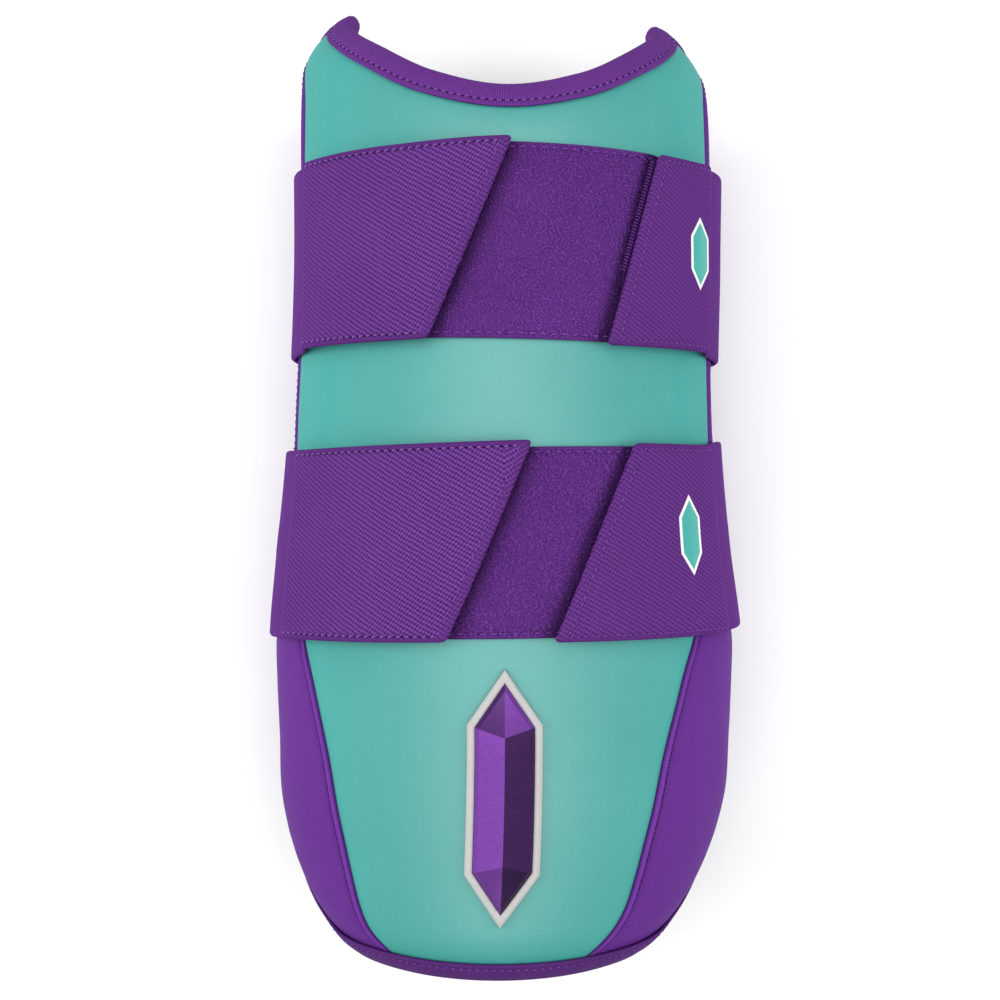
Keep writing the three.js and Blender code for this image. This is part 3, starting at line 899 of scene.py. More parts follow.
def tape_line(behind):
    """Line of stitching on the tape's face, or on its back behind the wall."""
    stations = outline(900)[0]
    place = stations[:, 0] / HALF_SPAN
    y = stations[:, 1]
    inward = TAPE_STITCH * tape_narrowing(place, y)
    if behind:
        lift = horn_thinning(place, y) - WALL - TAPE_GAP - TAPE
    else:
        lift = -thinning(inward) + TAPE_GAP + TAPE - TAPE_THREAD - tape_drop(place)
    spots = stations + inward_of(stations) * inward[:, None]
    points, normals = surface_line(guard_form, spots[:, 0] / HALF_SPAN, spots[:, 1], lift)
    return np.concatenate([points, points[:1]]), np.concatenate([normals, normals[:1]])


# Straps

ACROSS_STEPS = np.array([0, 0.1, 0.3, 0.6, 0.95, 1.25, 1.5, 1.75, 2.1, 2.6, 4])
CUT_STEPS = np.array([0, 0.1, 0.3, 0.6, 1.0, 1.5, 1.9, 2.2, 2.5, 2.9, 3.5, 4.5])


def across_strap(middle):
    """Shares of a strap's width, close together at both edges."""
    near = ACROSS_STEPS / STRAP_WIDTH
    even = np.linspace(near[-1], 1 - near[-1], middle)[1:-1]
    return np.concatenate([near, even, 1 - near[::-1]])


def across_form(strap, place):
    return strap_form(place, strap["y"] + 0 * place)[..., 0] / half_width_at(strap["y"])


def end_line(strap, end, place):
    """Middle line of one end of a strap."""
    drop = end["drop"] * (1 - smooth((np.abs(place) - ARC_SHARE) / DROP_FADE))
    rise = end["rise"] * smooth(1 + place / RISE_REACH)
    hitch = end["hitch"] * smooth((np.abs(place) - HITCH_FROM) / HITCH_SPAN)
    return strap["y"] - drop + rise + hitch + end["lean"] * across_form(strap, place)


def band_line(strap, place):
    """Middle line of a loop band, which takes on the line of the ends that lie on it."""
    line = strap["y"] - strap["band"]["drop"] + strap["band"]["lean"] * across_form(strap, place)
    for end, outmost in ((strap["left"], "foot"), (strap["right"], "top")):
        cut = np.abs(place_across(end[outmost], strap["y"]))
        covered = smooth((place * end["sign"] - cut) / UNDER_FADE)
        line = line + (end_line(strap, end, place) - line) * covered
    return line


def band_height(strap, share, place):
    """Height at a share of a loop band's width, which narrows a little under the strap ends."""
    start = np.where(place < 0, BAND_NARROW_LEFT, BAND_NARROW_RIGHT)
    width = strap["band"]["width"] - BAND_NARROWING * smooth((np.abs(place) - start) / UNDER_FADE)
    return band_line(strap, place) + (share - 0.5) * width


def webbing_lift(end, share, place):
    """Webbing climbs from the leather onto the loop band, and stands off the guard's sides."""
    reach = np.abs(place)
    climb = smooth((PILE_END + RAMP - reach) / RAMP)
    beside = smooth((reach - PILE_END + RAMP) / (2 * RAMP)) * smooth((BEND_PLACE - reach) / (2 * RAMP))
    slack = np.interp(share, (0, 0.5, 1), end["slack"])
    return STRAP_LIFT + (OVERLAP_LIFT - STRAP_LIFT) * climb + slack * beside


def cut_place(strap, end, share):
    """Place of a slanted cut at a share of the strap's width."""
    return place_across(end["foot"] + (end["top"] - end["foot"]) * share, strap["y"])


def tip_rounding(share):
    """How far the rounded corners of a cut are drawn back, at a share of the strap's width."""
    into = np.maximum(0, TIP - np.minimum(share, 1 - share) * STRAP_WIDTH)
    return TIP - np.sqrt(TIP**2 - into**2)


def rounded(distance, radius):
    """Swell of a rounded edge at a distance from it, from 0 to 1."""
    return np.sqrt(1 - (1 - np.clip(distance / radius, 0, 1)) ** 2)


def groove(distance):
    """Depth that stitches pull a strap in, at a distance from their line."""
    return HEM_GROOVE * np.exp(-((distance / HEM_GROOVE_WIDTH) ** 2))


def strap_half(cut, sign):
    """Places from a slanted cut round one side to the middle of the back, by row."""
    near = cut + sign * CUT_STEPS[:, None] / HALF_SPAN
    front = near[-1] + (sign * ARC_SHARE - near[-1]) * np.linspace(0, 1, 91)[1:, None]
    behind = np.concatenate(
        [
            np.linspace(ARC_SHARE, BEND_PLACE, 15)[1:],
            np.linspace(BEND_PLACE, FLAT_PLACE, 10)[1:],
            np.linspace(FLAT_PLACE, MEET_PLACE, 25)[1:],
        ]
    )
    return np.concatenate([near, front, np.broadcast_to(sign * behind[:, None], (len(behind), cut.size))])


def strap_surface(strap, end, share, place, extra):
    """Points of a strap at shares of its width and places along it, lifted by an extra height."""
    reach = np.abs(place)
    beside = smooth((reach - SPREAD_FROM) / SPREAD_FADE) * smooth((BEND_PLACE - reach) / SPREAD_END)
    width = STRAP_WIDTH * (1 + SIDE_SPREAD * beside)
    height = end_line(strap, end, place) + (share - 0.5) * width
    return lift_off(strap_form, place, height, webbing_lift(end, share, place) + extra)


def webbing_half(strap, end, share):
    """Outer and inner face of one half of a strap, its weave map, and how close its weave is."""
    cut = cut_place(strap, end, share) + end["sign"] * tip_rounding(share) / HALF_SPAN
    place = strap_half(cut, end["sign"])
    share = np.broadcast_to(share, place.shape)
    from_cut = np.abs(place - cut) * HALF_SPAN
    from_edge = np.minimum(share, 1 - share) * STRAP_WIDTH
    body = rounded(from_edge, WEBBING_EDGE) * rounded(from_cut, WEBBING_EDGE)
    sewn_end = smooth((SEWN_END - np.abs(place)) / SEWN_FADE)
    sewn = np.maximum(groove(from_edge - HEM), groove(from_cut - CUT_HEM)) * sewn_end
    sewn = np.maximum(sewn, BAND_END_DENT * groove((np.abs(place) - PILE_END) * HALF_SPAN))
    fold = CUT_FOLD * smooth(1 - (from_cut - CUT_HEM) / HEM_FADE) * body
    outer = strap_surface(strap, end, share, place, WEBBING * (0.5 + 0.5 * body) - sewn * body + fold)
    inner = strap_surface(strap, end, share, place, WEBBING * (0.5 - 0.5 * body))
    run = (end["sign"] * np.abs(place) - (1 + end["sign"]) * MEET_PLACE) * HALF_SPAN
    uv = np.stack([run, share * STRAP_WIDTH], -1)
    cut_hem = 0.5 * smooth((CUT_HEM - from_cut) / HEM_FADE)
    hem = np.maximum(smooth((HEM - from_edge) / HEM_FADE), cut_hem)
    turned = smooth((np.abs(place) - SIDE_CLOSE_FROM) / SIDE_CLOSE_FADE)
    tension = np.maximum(end["close"], SIDE_CLOSE * turned)
    return outer, inner, uv, np.maximum(hem * sewn_end, tension)


def webbing(name, strap):
    """Webbing from its left cut round the left side, across the back and up to its right cut."""
    share = across_strap(16)
    left = webbing_half(strap, strap["left"], share)
    right = webbing_half(strap, strap["right"], share)
    outer, inner, uv, close = (np.concatenate([a, b[-2::-1]]) for a, b in zip(left, right))
    return laid_grid(name, around(outer, inner), uv=around(uv, uv), marks={"close": around(close, close)})


def webbing_length(strap):
    """Length of the webbing along its middle, from cut to cut, in metres."""
    left, right = (webbing_half(strap, strap[side], np.array([0.5]))[0][:, 0] for side in SIDES)
    line = np.concatenate([left, right[-2::-1]])
    return float(np.linalg.norm(np.diff(line, axis=0), axis=1).sum()) * MM


def around(outer, inner):
    """Rows that run over an outer face, back over an inner face, and close."""
    return np.concatenate([outer, inner[:, ::-1], outer[:, :1]], 1)


def sewn_line(strap, end, share, place):
    """Line of stitching on the webbing of one end."""
    level = WEBBING - HEM_GROOVE
    low, high = (strap_surface(strap, end, share, place, level + up) for up in (0, 1))
    return low, high - low


def edge_lines(strap, end):
    """Lines of stitching along the lower and upper edge of one end."""
    hem = HEM / STRAP_WIDTH
    sign = end["sign"]
    lines = []
    for share in (hem, 1 - hem):
        start = cut_place(strap, end, share) + sign * CUT_HEM / HALF_SPAN
        place = np.linspace(start, sign * SEWN_END, 160)
        lines.append(sewn_line(strap, end, share + 0 * place, place))
    return lines


def cut_line(strap, end):
    """Line of stitching along a slanted cut."""
    hem = HEM / STRAP_WIDTH
    share = np.linspace(hem, 1 - hem, 120)
    return sewn_line(strap, end, share, cut_place(strap, end, share) + end["sign"] * CUT_HEM / HALF_SPAN)


def loop_band(name, strap):
    """Backing of the loop band sewn across the front."""
    share = across_strap(10)
    place = np.linspace(-PILE_END, PILE_END, 90)[:, None] + 0 * share
    shares = np.broadcast_to(share, place.shape)
    from_edge = np.minimum(shares, 1 - shares) * STRAP_WIDTH
    from_end = (PILE_END - np.abs(place)) * HALF_SPAN
    body = rounded(from_edge, BAND_EDGE) * rounded(from_end, BAND_EDGE)
    thick = BACKING - groove(from_edge - BAND_HEM)
    y = band_height(strap, shares, place)
    outer = lift_off(strap_form, place, y, PILE_LIFT + thick * (0.5 + 0.5 * body))
    inner = lift_off(strap_form, place, y, PILE_LIFT + thick * (0.5 - 0.5 * body))
    # Painted shadow beside the strap cuts, read by the backing's colour.
    marks = {"press": around(cut_shadow_share(strap, shares, place), 0 * place)}
    return laid_grid(name, around(outer, inner), marks=marks)


def cut_shadow_share(strap, share, place):
    """Painted shadow that the strap ends cast on the pile: 1 at their cuts, fading to 0 away from them."""
    fade = 1.7
    left, right = (cut_place(strap, strap[side], share) for side in SIDES)
    away = np.minimum(place - left, right - place) * HALF_SPAN
    return np.exp(-((np.maximum(away, 0) / fade) ** 2))


def band_lines(strap):
    """Lines of stitching along the lower and upper edge of a loop band."""
    hem = BAND_HEM / STRAP_WIDTH
    sewn_to = PILE_END - BAND_STITCH_CLEAR
    place = np.linspace(-sewn_to, sewn_to, 200)
    lines = []
    for share in (hem, 1 - hem):
        y = band_height(strap, share, place)
        lines.append(surface_line(strap_form, place, y, PILE_LIFT + BACKING - BAND_STITCH_SUNK))
    return lines


PILE_LOOPS = 6500
PILE_FOOT = 1.1  # height on the band at which the loops start
PILE_REACH = (0.18, 0.42)  # least and most of half a loop's span
PILE_TALL = (0.3, 0.7)
PILE_SWAY = (-0.25, 0.25)
PILE_THREAD = 0.09  # half the thickness of a loop's thread
PILE_CLEAR = 0.012  # share of the width left bare at both edges
PILE_UNDER = 2.5  # how far the loops run on under the strap ends


def loop_pile(name, strap, seed):
    """Small bent threads standing on the part of a loop band that shows between the strap ends."""
    random = np.random.default_rng(seed)
    count = PILE_LOOPS
    share = random.uniform(PILE_CLEAR, 1 - PILE_CLEAR, count)
    start = cut_place(strap, strap["left"], share) - PILE_UNDER / HALF_SPAN
    stop = cut_place(strap, strap["right"], share) + PILE_UNDER / HALF_SPAN
    place = start + (stop - start) * random.uniform(0, 1, count)
    y = band_height(strap, share, place)
    foot, up = surface_line(strap_form, place, y, PILE_LIFT + PILE_FOOT)
    up = unit(up)
    heading = random.uniform(0, 2 * math.pi, count)
    level = unit(np.cross(np.broadcast_to([0.0, 1.0, 0.0], up.shape), up))
    other = np.cross(up, level)
    ahead = level * np.cos(heading)[:, None] + other * np.sin(heading)[:, None]
    side = np.cross(up, ahead)
    reach = random.uniform(*PILE_REACH, count)
    tall = random.uniform(*PILE_TALL, count)
    sway = random.uniform(*PILE_SWAY, count)
    t = np.linspace(0, 1, 5)
    bow = np.sin(t * math.pi)
    centres = (
        foot[:, None]
        + ahead[:, None] * ((t - 0.5) * 2 * reach[:, None])[..., None]
        + up[:, None] * (bow * tall[:, None])[..., None]
        + side[:, None] * (bow * sway[:, None])[..., None]
    )
    shape = centres.shape
    # Painted shadow beside the strap cuts, read by the pile's colour.
    marks = {"press": cut_shadow_share(strap, share, place)}
    tilt = np.cos(t * math.pi)
    lean = unit(up[:, None] * (1 - np.abs(tilt))[:, None] - ahead[:, None] * tilt[:, None])
    side = np.broadcast_to(side[:, None], shape)
    return joined_tubes(name, centres, PILE_THREAD, side, lean, 3, marks)


HOOK_INSET = 1.2  # how much narrower the hook tape is at each edge of its strap
HOOK_EDGE = 0.3  # rounding of its edges
HOOK_SHOWS_FROM = 0.3  # share of the strap's width above which it may show
HOOK_SHOWS_FADE = 0.12
OVERCAST = (0.38, 0.965)  # shares of the width between which its overcast thread runs
OVERCAST_LIFT = 0.1


def hook_past(end, share):
    """How far the hook tape stands out past a cut, at a share of the strap's width."""
    past = end["shows"] + HOOK_BEHIND
    return past * smooth((share - HOOK_SHOWS_FROM) / HOOK_SHOWS_FADE) - HOOK_BEHIND


def hook_patch(name, strap, end):
    """Hook tape under one end of a strap."""
    inset = HOOK_INSET / STRAP_WIDTH
    share = inset + (1 - 2 * inset) * across_strap(10)
    start = cut_place(strap, end, share) - end["sign"] * hook_past(end, share) / HALF_SPAN
    length = np.abs(end["sign"] * HOOK_END - start) * HALF_SPAN
    near = np.array([0, 0.08, 0.25, 0.5, 1])[:, None] + 0 * share
    away = np.concatenate([near, 1 + (length - 1) * np.linspace(0, 1, 31)[1:, None]])
    place = start + end["sign"] * away / HALF_SPAN
    share = np.broadcast_to(share, place.shape)
    from_edge = np.minimum(share - inset, 1 - inset - share) * STRAP_WIDTH
    body = rounded(from_edge, HOOK_EDGE) * rounded(np.minimum(away, length - away), HOOK_EDGE)
    low = HOOK_LIFT + HOOK - HOOK_TAPE
    y = end_line(strap, end, place) + (share - 0.5) * STRAP_WIDTH
    outer = lift_off(strap_form, place, y, low + HOOK_TAPE * (0.5 + 0.5 * body))
    inner = lift_off(strap_form, place, y, low + HOOK_TAPE * (0.5 - 0.5 * body))
    return laid_grid(name, around(outer, inner))


def overcast_line(strap, end):
    """Line of the overcast thread along the part of a cut where the hook tape shows."""
    share = np.linspace(*OVERCAST, 160)
    place = cut_place(strap, end, share) - end["sign"] * 0.5 * end["shows"] / HALF_SPAN
    y = end_line(strap, end, place) + (share - 0.5) * STRAP_WIDTH
    return surface_line(strap_form, place, y, HOOK_LIFT + HOOK + OVERCAST_LIFT)


# Badge and small prints

FACET_STEPS = 6  # points along each side of a hexagon

# Painted light and shade on the badge's facets: the share of its colour that each keeps, round from the
# upper left one to the upper right one
FACET_PAINTED_LIGHT = (0.35, 1.0, 0.6, 0.12, 0.22, 0.8)


def hexagon(width, height, shoulder, inset):
    """Outline of an upright hexagon drawn in by an inset, as points across and up."""
    fall = (height - shoulder) / width
    tip = height - inset * math.hypot(1, fall)
    side = width - inset
    corner = tip - side * fall
    left_half = np.array([(0, tip), (-side, corner), (-side, -corner)])
    corners = np.concatenate([left_half, -left_half])
    after = np.roll(corners, -1, 0)
    t = np.arange(FACET_STEPS) / FACET_STEPS
    return (corners[:, None] + (after - corners)[:, None] * t[:, None]).reshape(-1, 2)


def badge_ring(inset, lift):
    across, up = hexagon(BADGE_WIDTH, BADGE_HEIGHT, BADGE_SHOULDER, inset).T
    y = BADGE_Y + up
    ring = lift_off(guard_form, place_across(across, y), y, lift)
    return np.concatenate([ring, ring[:1]])


def badge_border():
    """Raised border with a rounded top."""
    shoulder = GAP + 0.5
    turn = np.linspace(0, math.pi, 9)
    inset = BADGE_BORDER / 2 * (1 - np.cos(turn))
    lift = shoulder + (BADGE_RISE - shoulder) * np.sin(turn)
    rings = [badge_ring(0, GAP)]
    rings += [badge_ring(i, h) for i, h in zip(inset, lift)]
    rings += [badge_ring(BADGE_BORDER, GAP), badge_ring(0, GAP)]
    return laid_grid("badge_rim", np.stack(rings))


def badge_plate():
    """Faceted plate that rises in a bevel and then to a sharp ridge."""
    inset = BADGE_BORDER + PLATE_GAP
    ridge = BADGE_WIDTH
    rings = [
        badge_ring(ridge, GAP),
        badge_ring(inset, GAP),
        badge_ring(inset, PLATE_SIDE),
        badge_ring(inset + PLATE_BEVEL, PLATE_BEVEL_TOP),
        badge_ring(ridge, PLATE_RIDGE),
    ]
    # Each facet's colour is made lighter or darker: painted light and shade.
    tones = np.repeat(FACET_PAINTED_LIGHT, FACET_STEPS)
    face_marks = {"facet": np.tile(tones - 1, (len(rings) - 1, 1))}
    return laid_grid("badge_facets", np.stack(rings), face_marks=face_marks)


PRINTS = {"upper": dict(x=47.0, y=62.3, height=9.6), "lower": dict(x=44.9, y=-11.9, height=10.6)}
PRINT_WIDTH = 3.4
PRINT_SHOULDER = 0.45  # share of the height up to the shoulders
PRINT_BEVEL = 0.06


def strap_print(name, strap, mark, inset, low, high):
    """Thin upright hexagon printed on a strap."""
    y = mark["y"]
    middle = place_across(mark["x"], y)
    section = [(PRINT_WIDTH, low), (inset, low), (inset, high - PRINT_BEVEL / 2)]
    section += [(inset + PRINT_BEVEL, high), (PRINT_WIDTH, high)]
    rings = []
    for drawn_in, lift in section:
        across, up = hexagon(PRINT_WIDTH, mark["height"], mark["height"] * PRINT_SHOULDER, drawn_in).T
        place = middle + across / HALF_SPAN
        height = y + up
        share = (height - end_line(strap, strap["right"], place)) / STRAP_WIDTH + 0.5
        ring = strap_surface(strap, strap["right"], share, place, WEBBING + lift)
        rings.append(np.concatenate([ring, ring[:1]]))
    return laid_grid(name, np.stack(rings))


# Materials


def node(tree, kind, inputs=None, **settings):
    """A shader node with its settings, and inputs given as values or as other nodes' outputs."""
    made = tree.nodes.new("ShaderNode" + kind)
    for key, value in settings.items():
        setattr(made, key, value)
    for socket, source in (inputs or {}).items():
        if isinstance(source, bpy.types.NodeSocket):
            tree.links.new(source, made.inputs[socket])
        else:
            made.inputs[socket].default_value = source
    return made


def sums(tree, operation, a, b=0.0, c=0.0):
    return node(tree, "Math", {0: a, 1: b, 2: c}, operation=operation).outputs[0]


def group(name, inputs, outputs):
    """An empty shader node group with named sockets, and its input node."""
    tree = bpy.data.node_groups.new(name, "ShaderNodeTree")
    for label, kind in inputs:
        tree.interface.new_socket(label, in_out="INPUT", socket_type="NodeSocket" + kind)
    for label in outputs:
        tree.interface.new_socket(label, in_out="OUTPUT", socket_type="NodeSocketFloat")
    return tree, tree.nodes.new("NodeGroupInput").outputs


def give(tree, **outputs):
    end = tree.nodes.new("NodeGroupOutput")
    for label, source in outputs.items():
        tree.links.new(source, end.inputs[label])


def grain_group():
    """Fine leather grain: pebbles with soft valleys, and faint creases. Height and tone run about 0 to 1."""
    inputs = [("Vector", "Vector"), ("Pebbles", "Float"), ("Creases", "Float")]
    tree, given = group("leather_grain", inputs, ["Height", "Tone"])
    place = given["Vector"]
    pebbles = {"Vector": place, "Scale": given["Pebbles"], "Smoothness": 0.6}
    pebble = node(tree, "TexVoronoi", pebbles, feature="SMOOTH_F1").outputs["Distance"]
    fine = node(tree, "TexNoise", {"Vector": place, "Scale": 2600.0, "Detail": 3.0})
    slanted = {"Vector": place, "Scale": (0.35, 1.0, 0.6), "Rotation": (0.0, 0.0, 0.25)}
    stretch = node(tree, "Mapping", slanted).outputs[0]
    crease = node(tree, "TexNoise", {"Vector": stretch, "Scale": 420.0, "Detail": 2.0, "Distortion": 0.6})
    cloud = node(tree, "TexNoise", {"Vector": place, "Scale": 28.0, "Detail": 3.0})
    height = sums(tree, "MULTIPLY", pebble, -0.9)
    height = sums(tree, "MULTIPLY_ADD", fine.outputs[0], 0.5, height)
    height = sums(tree, "MULTIPLY_ADD", crease.outputs[0], given["Creases"], height)
    tone = sums(tree, "MULTIPLY_ADD", pebble, -0.5, cloud.outputs[0])
    give(tree, Height=height, Tone=tone)
    return tree


def weave_group():
    """Woven elastic, from a map in millimetres: two sets of slanted threads. Height runs from 0 to 1."""
    inputs = [("Map", "Vector"), ("Rows", "Vector"), ("Columns", "Vector")]
    tree, given = group("slanted_weave", inputs, ["Height"])
    wobble = node(tree, "TexNoise", {"Vector": given["Map"], "Scale": 0.5, "Detail": 2.0})
    shift = node(tree, "VectorMath", {0: wobble.outputs[1], "Scale": 0.6}, operation="SCALE")
    moved = node(tree, "VectorMath", {0: given["Map"], 1: shift.outputs[0]}, operation="ADD")
    height = 0.5
    for threads, share in (("Rows", 0.22), ("Columns", 0.17)):
        turn = node(tree, "VectorMath", {0: moved.outputs[0], 1: given[threads]}, operation="DOT_PRODUCT")
        wave = sums(tree, "COSINE", sums(tree, "MULTIPLY", turn.outputs["Value"], 2 * math.pi))
        height = sums(tree, "MULTIPLY_ADD", wave, share, height)
    give(tree, Height=height)
    return tree


def fibre_group():
    """Uneven tone of dyed fibre: large soft patches and fine specks, about 0 to 1."""
    tree, given = group("fibre_tone", [("Vector", "Vector"), ("Specks", "Float")], ["Tone", "Height"])
    patch = node(tree, "TexNoise", {"Vector": given["Vector"], "Scale": 45.0, "Detail": 2.0})
    specks = {"Vector": given["Vector"], "Scale": given["Specks"], "Detail": 4.0, "Roughness": 0.7}
    speck = node(tree, "TexNoise", specks)
    tone = sums(tree, "MULTIPLY_ADD", speck.outputs[0], 0.7, sums(tree, "MULTIPLY", patch.outputs[0], 0.3))
    give(tree, Tone=tone, Height=speck.outputs[0])
    return tree


def rib_group():
    """Ribs across a tape, from a map in millimetres."""
    tree, given = group("tape_ribs", [("Map", "Vector"), ("Pitch", "Float")], ["Height"])
    along = node(tree, "SeparateXYZ", {0: given["Map"]}).outputs[0]
    turn = sums(tree, "MULTIPLY", sums(tree, "MULTIPLY", along, given["Pitch"]), math.pi)
    give(tree, Height=sums(tree, "ABSOLUTE", sums(tree, "SINE", turn)))
    return tree


GRAIN = grain_group()
WEAVE = weave_group()
FIBRE = fibre_group()
RIBS = rib_group()


def material(name, **constants):
    """A material with its Principled shader and constant socket values."""
    made = bpy.data.materials.new(name)
    made.use_nodes = True
    shader = made.node_tree.nodes["Principled BSDF"]
    for socket, value in constants.items():
        shader.inputs[socket.replace("_", " ")].default_value = value
    return made, made.node_tree, shader


def effect(tree, group_tree, inputs):
    """Outputs of a shared effect."""
    return node(tree, "Group", inputs, node_tree=group_tree).outputs


def object_place(tree):
    return node(tree, "TexCoord").outputs["Object"]


def cloth_map(tree):
    return node(tree, "UVMap", uv_map="UVMap").outputs[0]


def shade(tree, tone, low, high, dark, light):
    """Colour between two shades, by a tone."""
    share = node(tree, "MapRange", {0: tone, 1: low, 2: high}).outputs[0]
    return node(tree, "Mix", {0: share, 6: (*dark, 1), 7: (*light, 1)}, data_type="RGBA").outputs[2]


def toned(tree, colour, mark, gain):
    """Colour made lighter or darker by the values that a mesh carries under a name."""
    value = node(tree, "Attribute", attribute_name=mark).outputs["Fac"]
    factor = sums(tree, "MULTIPLY_ADD", value, gain, 1.0)
    return node(tree, "VectorMath", {0: colour, "Scale": factor}, operation="SCALE").outputs[0]


def bumped(tree, shader, height, strength, distance):
    bump = node(tree, "Bump", {"Height": height, "Strength": strength, "Distance": distance})
    tree.links.new(bump.outputs[0], shader.inputs["Normal"])


def leather(name, dark, light, creases, polish):
    """Grained leather with a dressing that shines where it faces the eye and is dull seen aslant."""
    made, tree, shader = material(
        name,
        Specular_IOR_Level=0.03,
        Roughness=0.6,
        Coat_IOR=1.95,
        Coat_Roughness=0.5,
    )
    grain = effect(tree, GRAIN, {"Vector": object_place(tree), "Pebbles": 1250.0, "Creases": creases})
    colour = shade(tree, grain["Tone"], 0.0, 0.65, dark, light)
    # The fold mark lightens or darkens the colour: painted highlight and painted shade along the seams.
    tree.links.new(toned(tree, colour, "fold", 0.35), shader.inputs["Base Color"])
    turned = node(tree, "LayerWeight").outputs["Facing"]
    shine = node(tree, "MapRange", {0: turned, 1: 0.05, 2: 0.4, 3: polish, 4: 0.1 * polish}).outputs[0]
    tree.links.new(shine, shader.inputs["Coat Weight"])
    bumped(tree, shader, grain["Height"], 0.22, 0.00022)
    return made


def fabric(name, dark, light, specks, rough, strength, distance, mark):
    """Cloth or thread with no clear weave, made darker where the mesh carries a mark: painted shadow."""
    made, tree, shader = material(name, Roughness=rough, Specular_IOR_Level=0.08)
    fibre = effect(tree, FIBRE, {"Vector": object_place(tree), "Specks": specks})
    colour = shade(tree, fibre["Tone"], 0.3, 0.7, dark, light)
    if mark:
        colour = toned(tree, colour, mark, -0.55)
    tree.links.new(colour, shader.inputs["Base Color"])
    bumped(tree, shader, fibre["Height"], strength, distance)
    return made


WEAVE_ROWS = (0.543, 0.772, 0.0)  # threads to a millimetre across and up
WEAVE_COLUMNS = (1.208, -0.756, 0.0)


def webbing_cloth(name, dark, light, close_shade):
    """Woven elastic, with its threads closer together where the cloth is close woven or hemmed."""
    made, tree, shader = material(
        name,
        Roughness=0.95,
        Specular_IOR_Level=0.02,
        Sheen_Weight=0.15,
        Sheen_Roughness=0.35,
        Sheen_Tint=(0.5, 0.14, 0.8, 1),
    )
    weave = effect(tree, WEAVE, {"Map": cloth_map(tree), "Rows": WEAVE_ROWS, "Columns": WEAVE_COLUMNS})
    fibre = effect(tree, FIBRE, {"Vector": object_place(tree), "Specks": 2400.0})
    close = node(tree, "Attribute", attribute_name="close").outputs["Fac"]
    uneven = sums(tree, "MULTIPLY_ADD", fibre["Tone"], 0.3, -0.15)
    tone = sums(tree, "ADD", weave["Height"], uneven)
    woven = shade(tree, tone, 0.0, 1.0, dark, light)
    filled = sums(tree, "MULTIPLY", close, 0.8)
    colour = node(tree, "Mix", {0: filled, 6: woven, 7: (*close_shade, 1)}, data_type="RGBA").outputs[2]
    tree.links.new(colour, shader.inputs["Base Color"])
    open_weave = sums(tree, "MULTIPLY_ADD", close, -0.7, 1.0)
    height = sums(tree, "MULTIPLY", weave["Height"], open_weave)
    height = sums(tree, "MULTIPLY_ADD", fibre["Height"], 0.3, height)
    bumped(tree, shader, height, 0.45, 0.0003)
    return made


def ribbed_tape(name, dark, light):
    made, tree, shader = material(name, Roughness=0.75, Specular_IOR_Level=0.06)
    ribs = effect(tree, RIBS, {"Map": cloth_map(tree), "Pitch": 1.85})
    fibre = effect(tree, FIBRE, {"Vector": object_place(tree), "Specks": 2200.0})
    tone = sums(tree, "MULTIPLY_ADD", ribs["Height"], 0.45, sums(tree, "MULTIPLY", fibre["Tone"], 0.6))
    # The shaded mark darkens the colour towards the cup: painted shade.
    colour = toned(tree, shade(tree, tone, 0.25, 0.8, dark, light), "shaded", -0.28)
    tree.links.new(colour, shader.inputs["Base Color"])
    bumped(tree, shader, ribs["Height"], 0.5, 0.00018)
    return made


def moulded(name, dark, light, rough, metallic, coat, mark):
    """Moulded or printed surface: faint clouds in its colour and specks in its gloss."""
    made, tree, shader = material(name, Metallic=metallic, Coat_Weight=coat, Coat_Roughness=0.12)
    fibre = effect(tree, FIBRE, {"Vector": object_place(tree), "Specks": 900.0})
    colour = shade(tree, fibre["Tone"], 0.3, 0.7, dark, light)
    # The mark scales the colour: painted light and shade on the badge facets.
    if mark:
        colour = toned(tree, colour, mark, 1.0)
    tree.links.new(colour, shader.inputs["Base Color"])
    spread = {0: fibre["Height"], 1: 0.3, 2: 0.7, 3: rough * 0.85, 4: rough * 1.15}
    tree.links.new(node(tree, "MapRange", spread).outputs[0], shader.inputs["Roughness"])
    return made


CLOTHS = (
    # name, dark shade, light shade, specks, roughness, strength and depth of the bump, mark
    ("lining_knit", (0.03, 0.012, 0.05), (0.06, 0.024, 0.1), 700.0, 0.9, 0.5, 0.0005, ""),
    # Their mark darkens the loop backing and pile beside the strap cuts: painted shadow.
    ("loop_backing", (0.085, 0.022, 0.16), (0.125, 0.033, 0.23), 1500.0, 0.95, 0.8, 0.0006, "press"),
    ("loop_pile", (0.18, 0.05, 0.335), (0.31, 0.095, 0.56), 1300.0, 0.85, 0.3, 0.0002, "press"),
    ("hook_tape", (0.018, 0.004, 0.038), (0.05, 0.012, 0.1), 1500.0, 0.7, 0.3, 0.0002, ""),
    ("overcast", (0.09, 0.024, 0.17), (0.17, 0.05, 0.31), 1500.0, 0.7, 0.3, 0.0002, ""),
    ("thread", (0.19, 0.074, 0.34), (0.27, 0.118, 0.45), 3000.0, 0.6, 0.4, 0.0001, ""),
    ("hem_thread", (0.15, 0.045, 0.27), (0.23, 0.08, 0.39), 1500.0, 0.7, 0.3, 0.0002, ""),
    ("seam_thread", (0.07, 0.016, 0.14), (0.11, 0.026, 0.21), 3000.0, 0.6, 0.4, 0.0001, ""),
    # Near black: painted shade in the needle holes.
    ("needle_hole", (0.008, 0.002, 0.018), (0.02, 0.005, 0.04), 3000.0, 0.9, 0.2, 0.0001, ""),
)
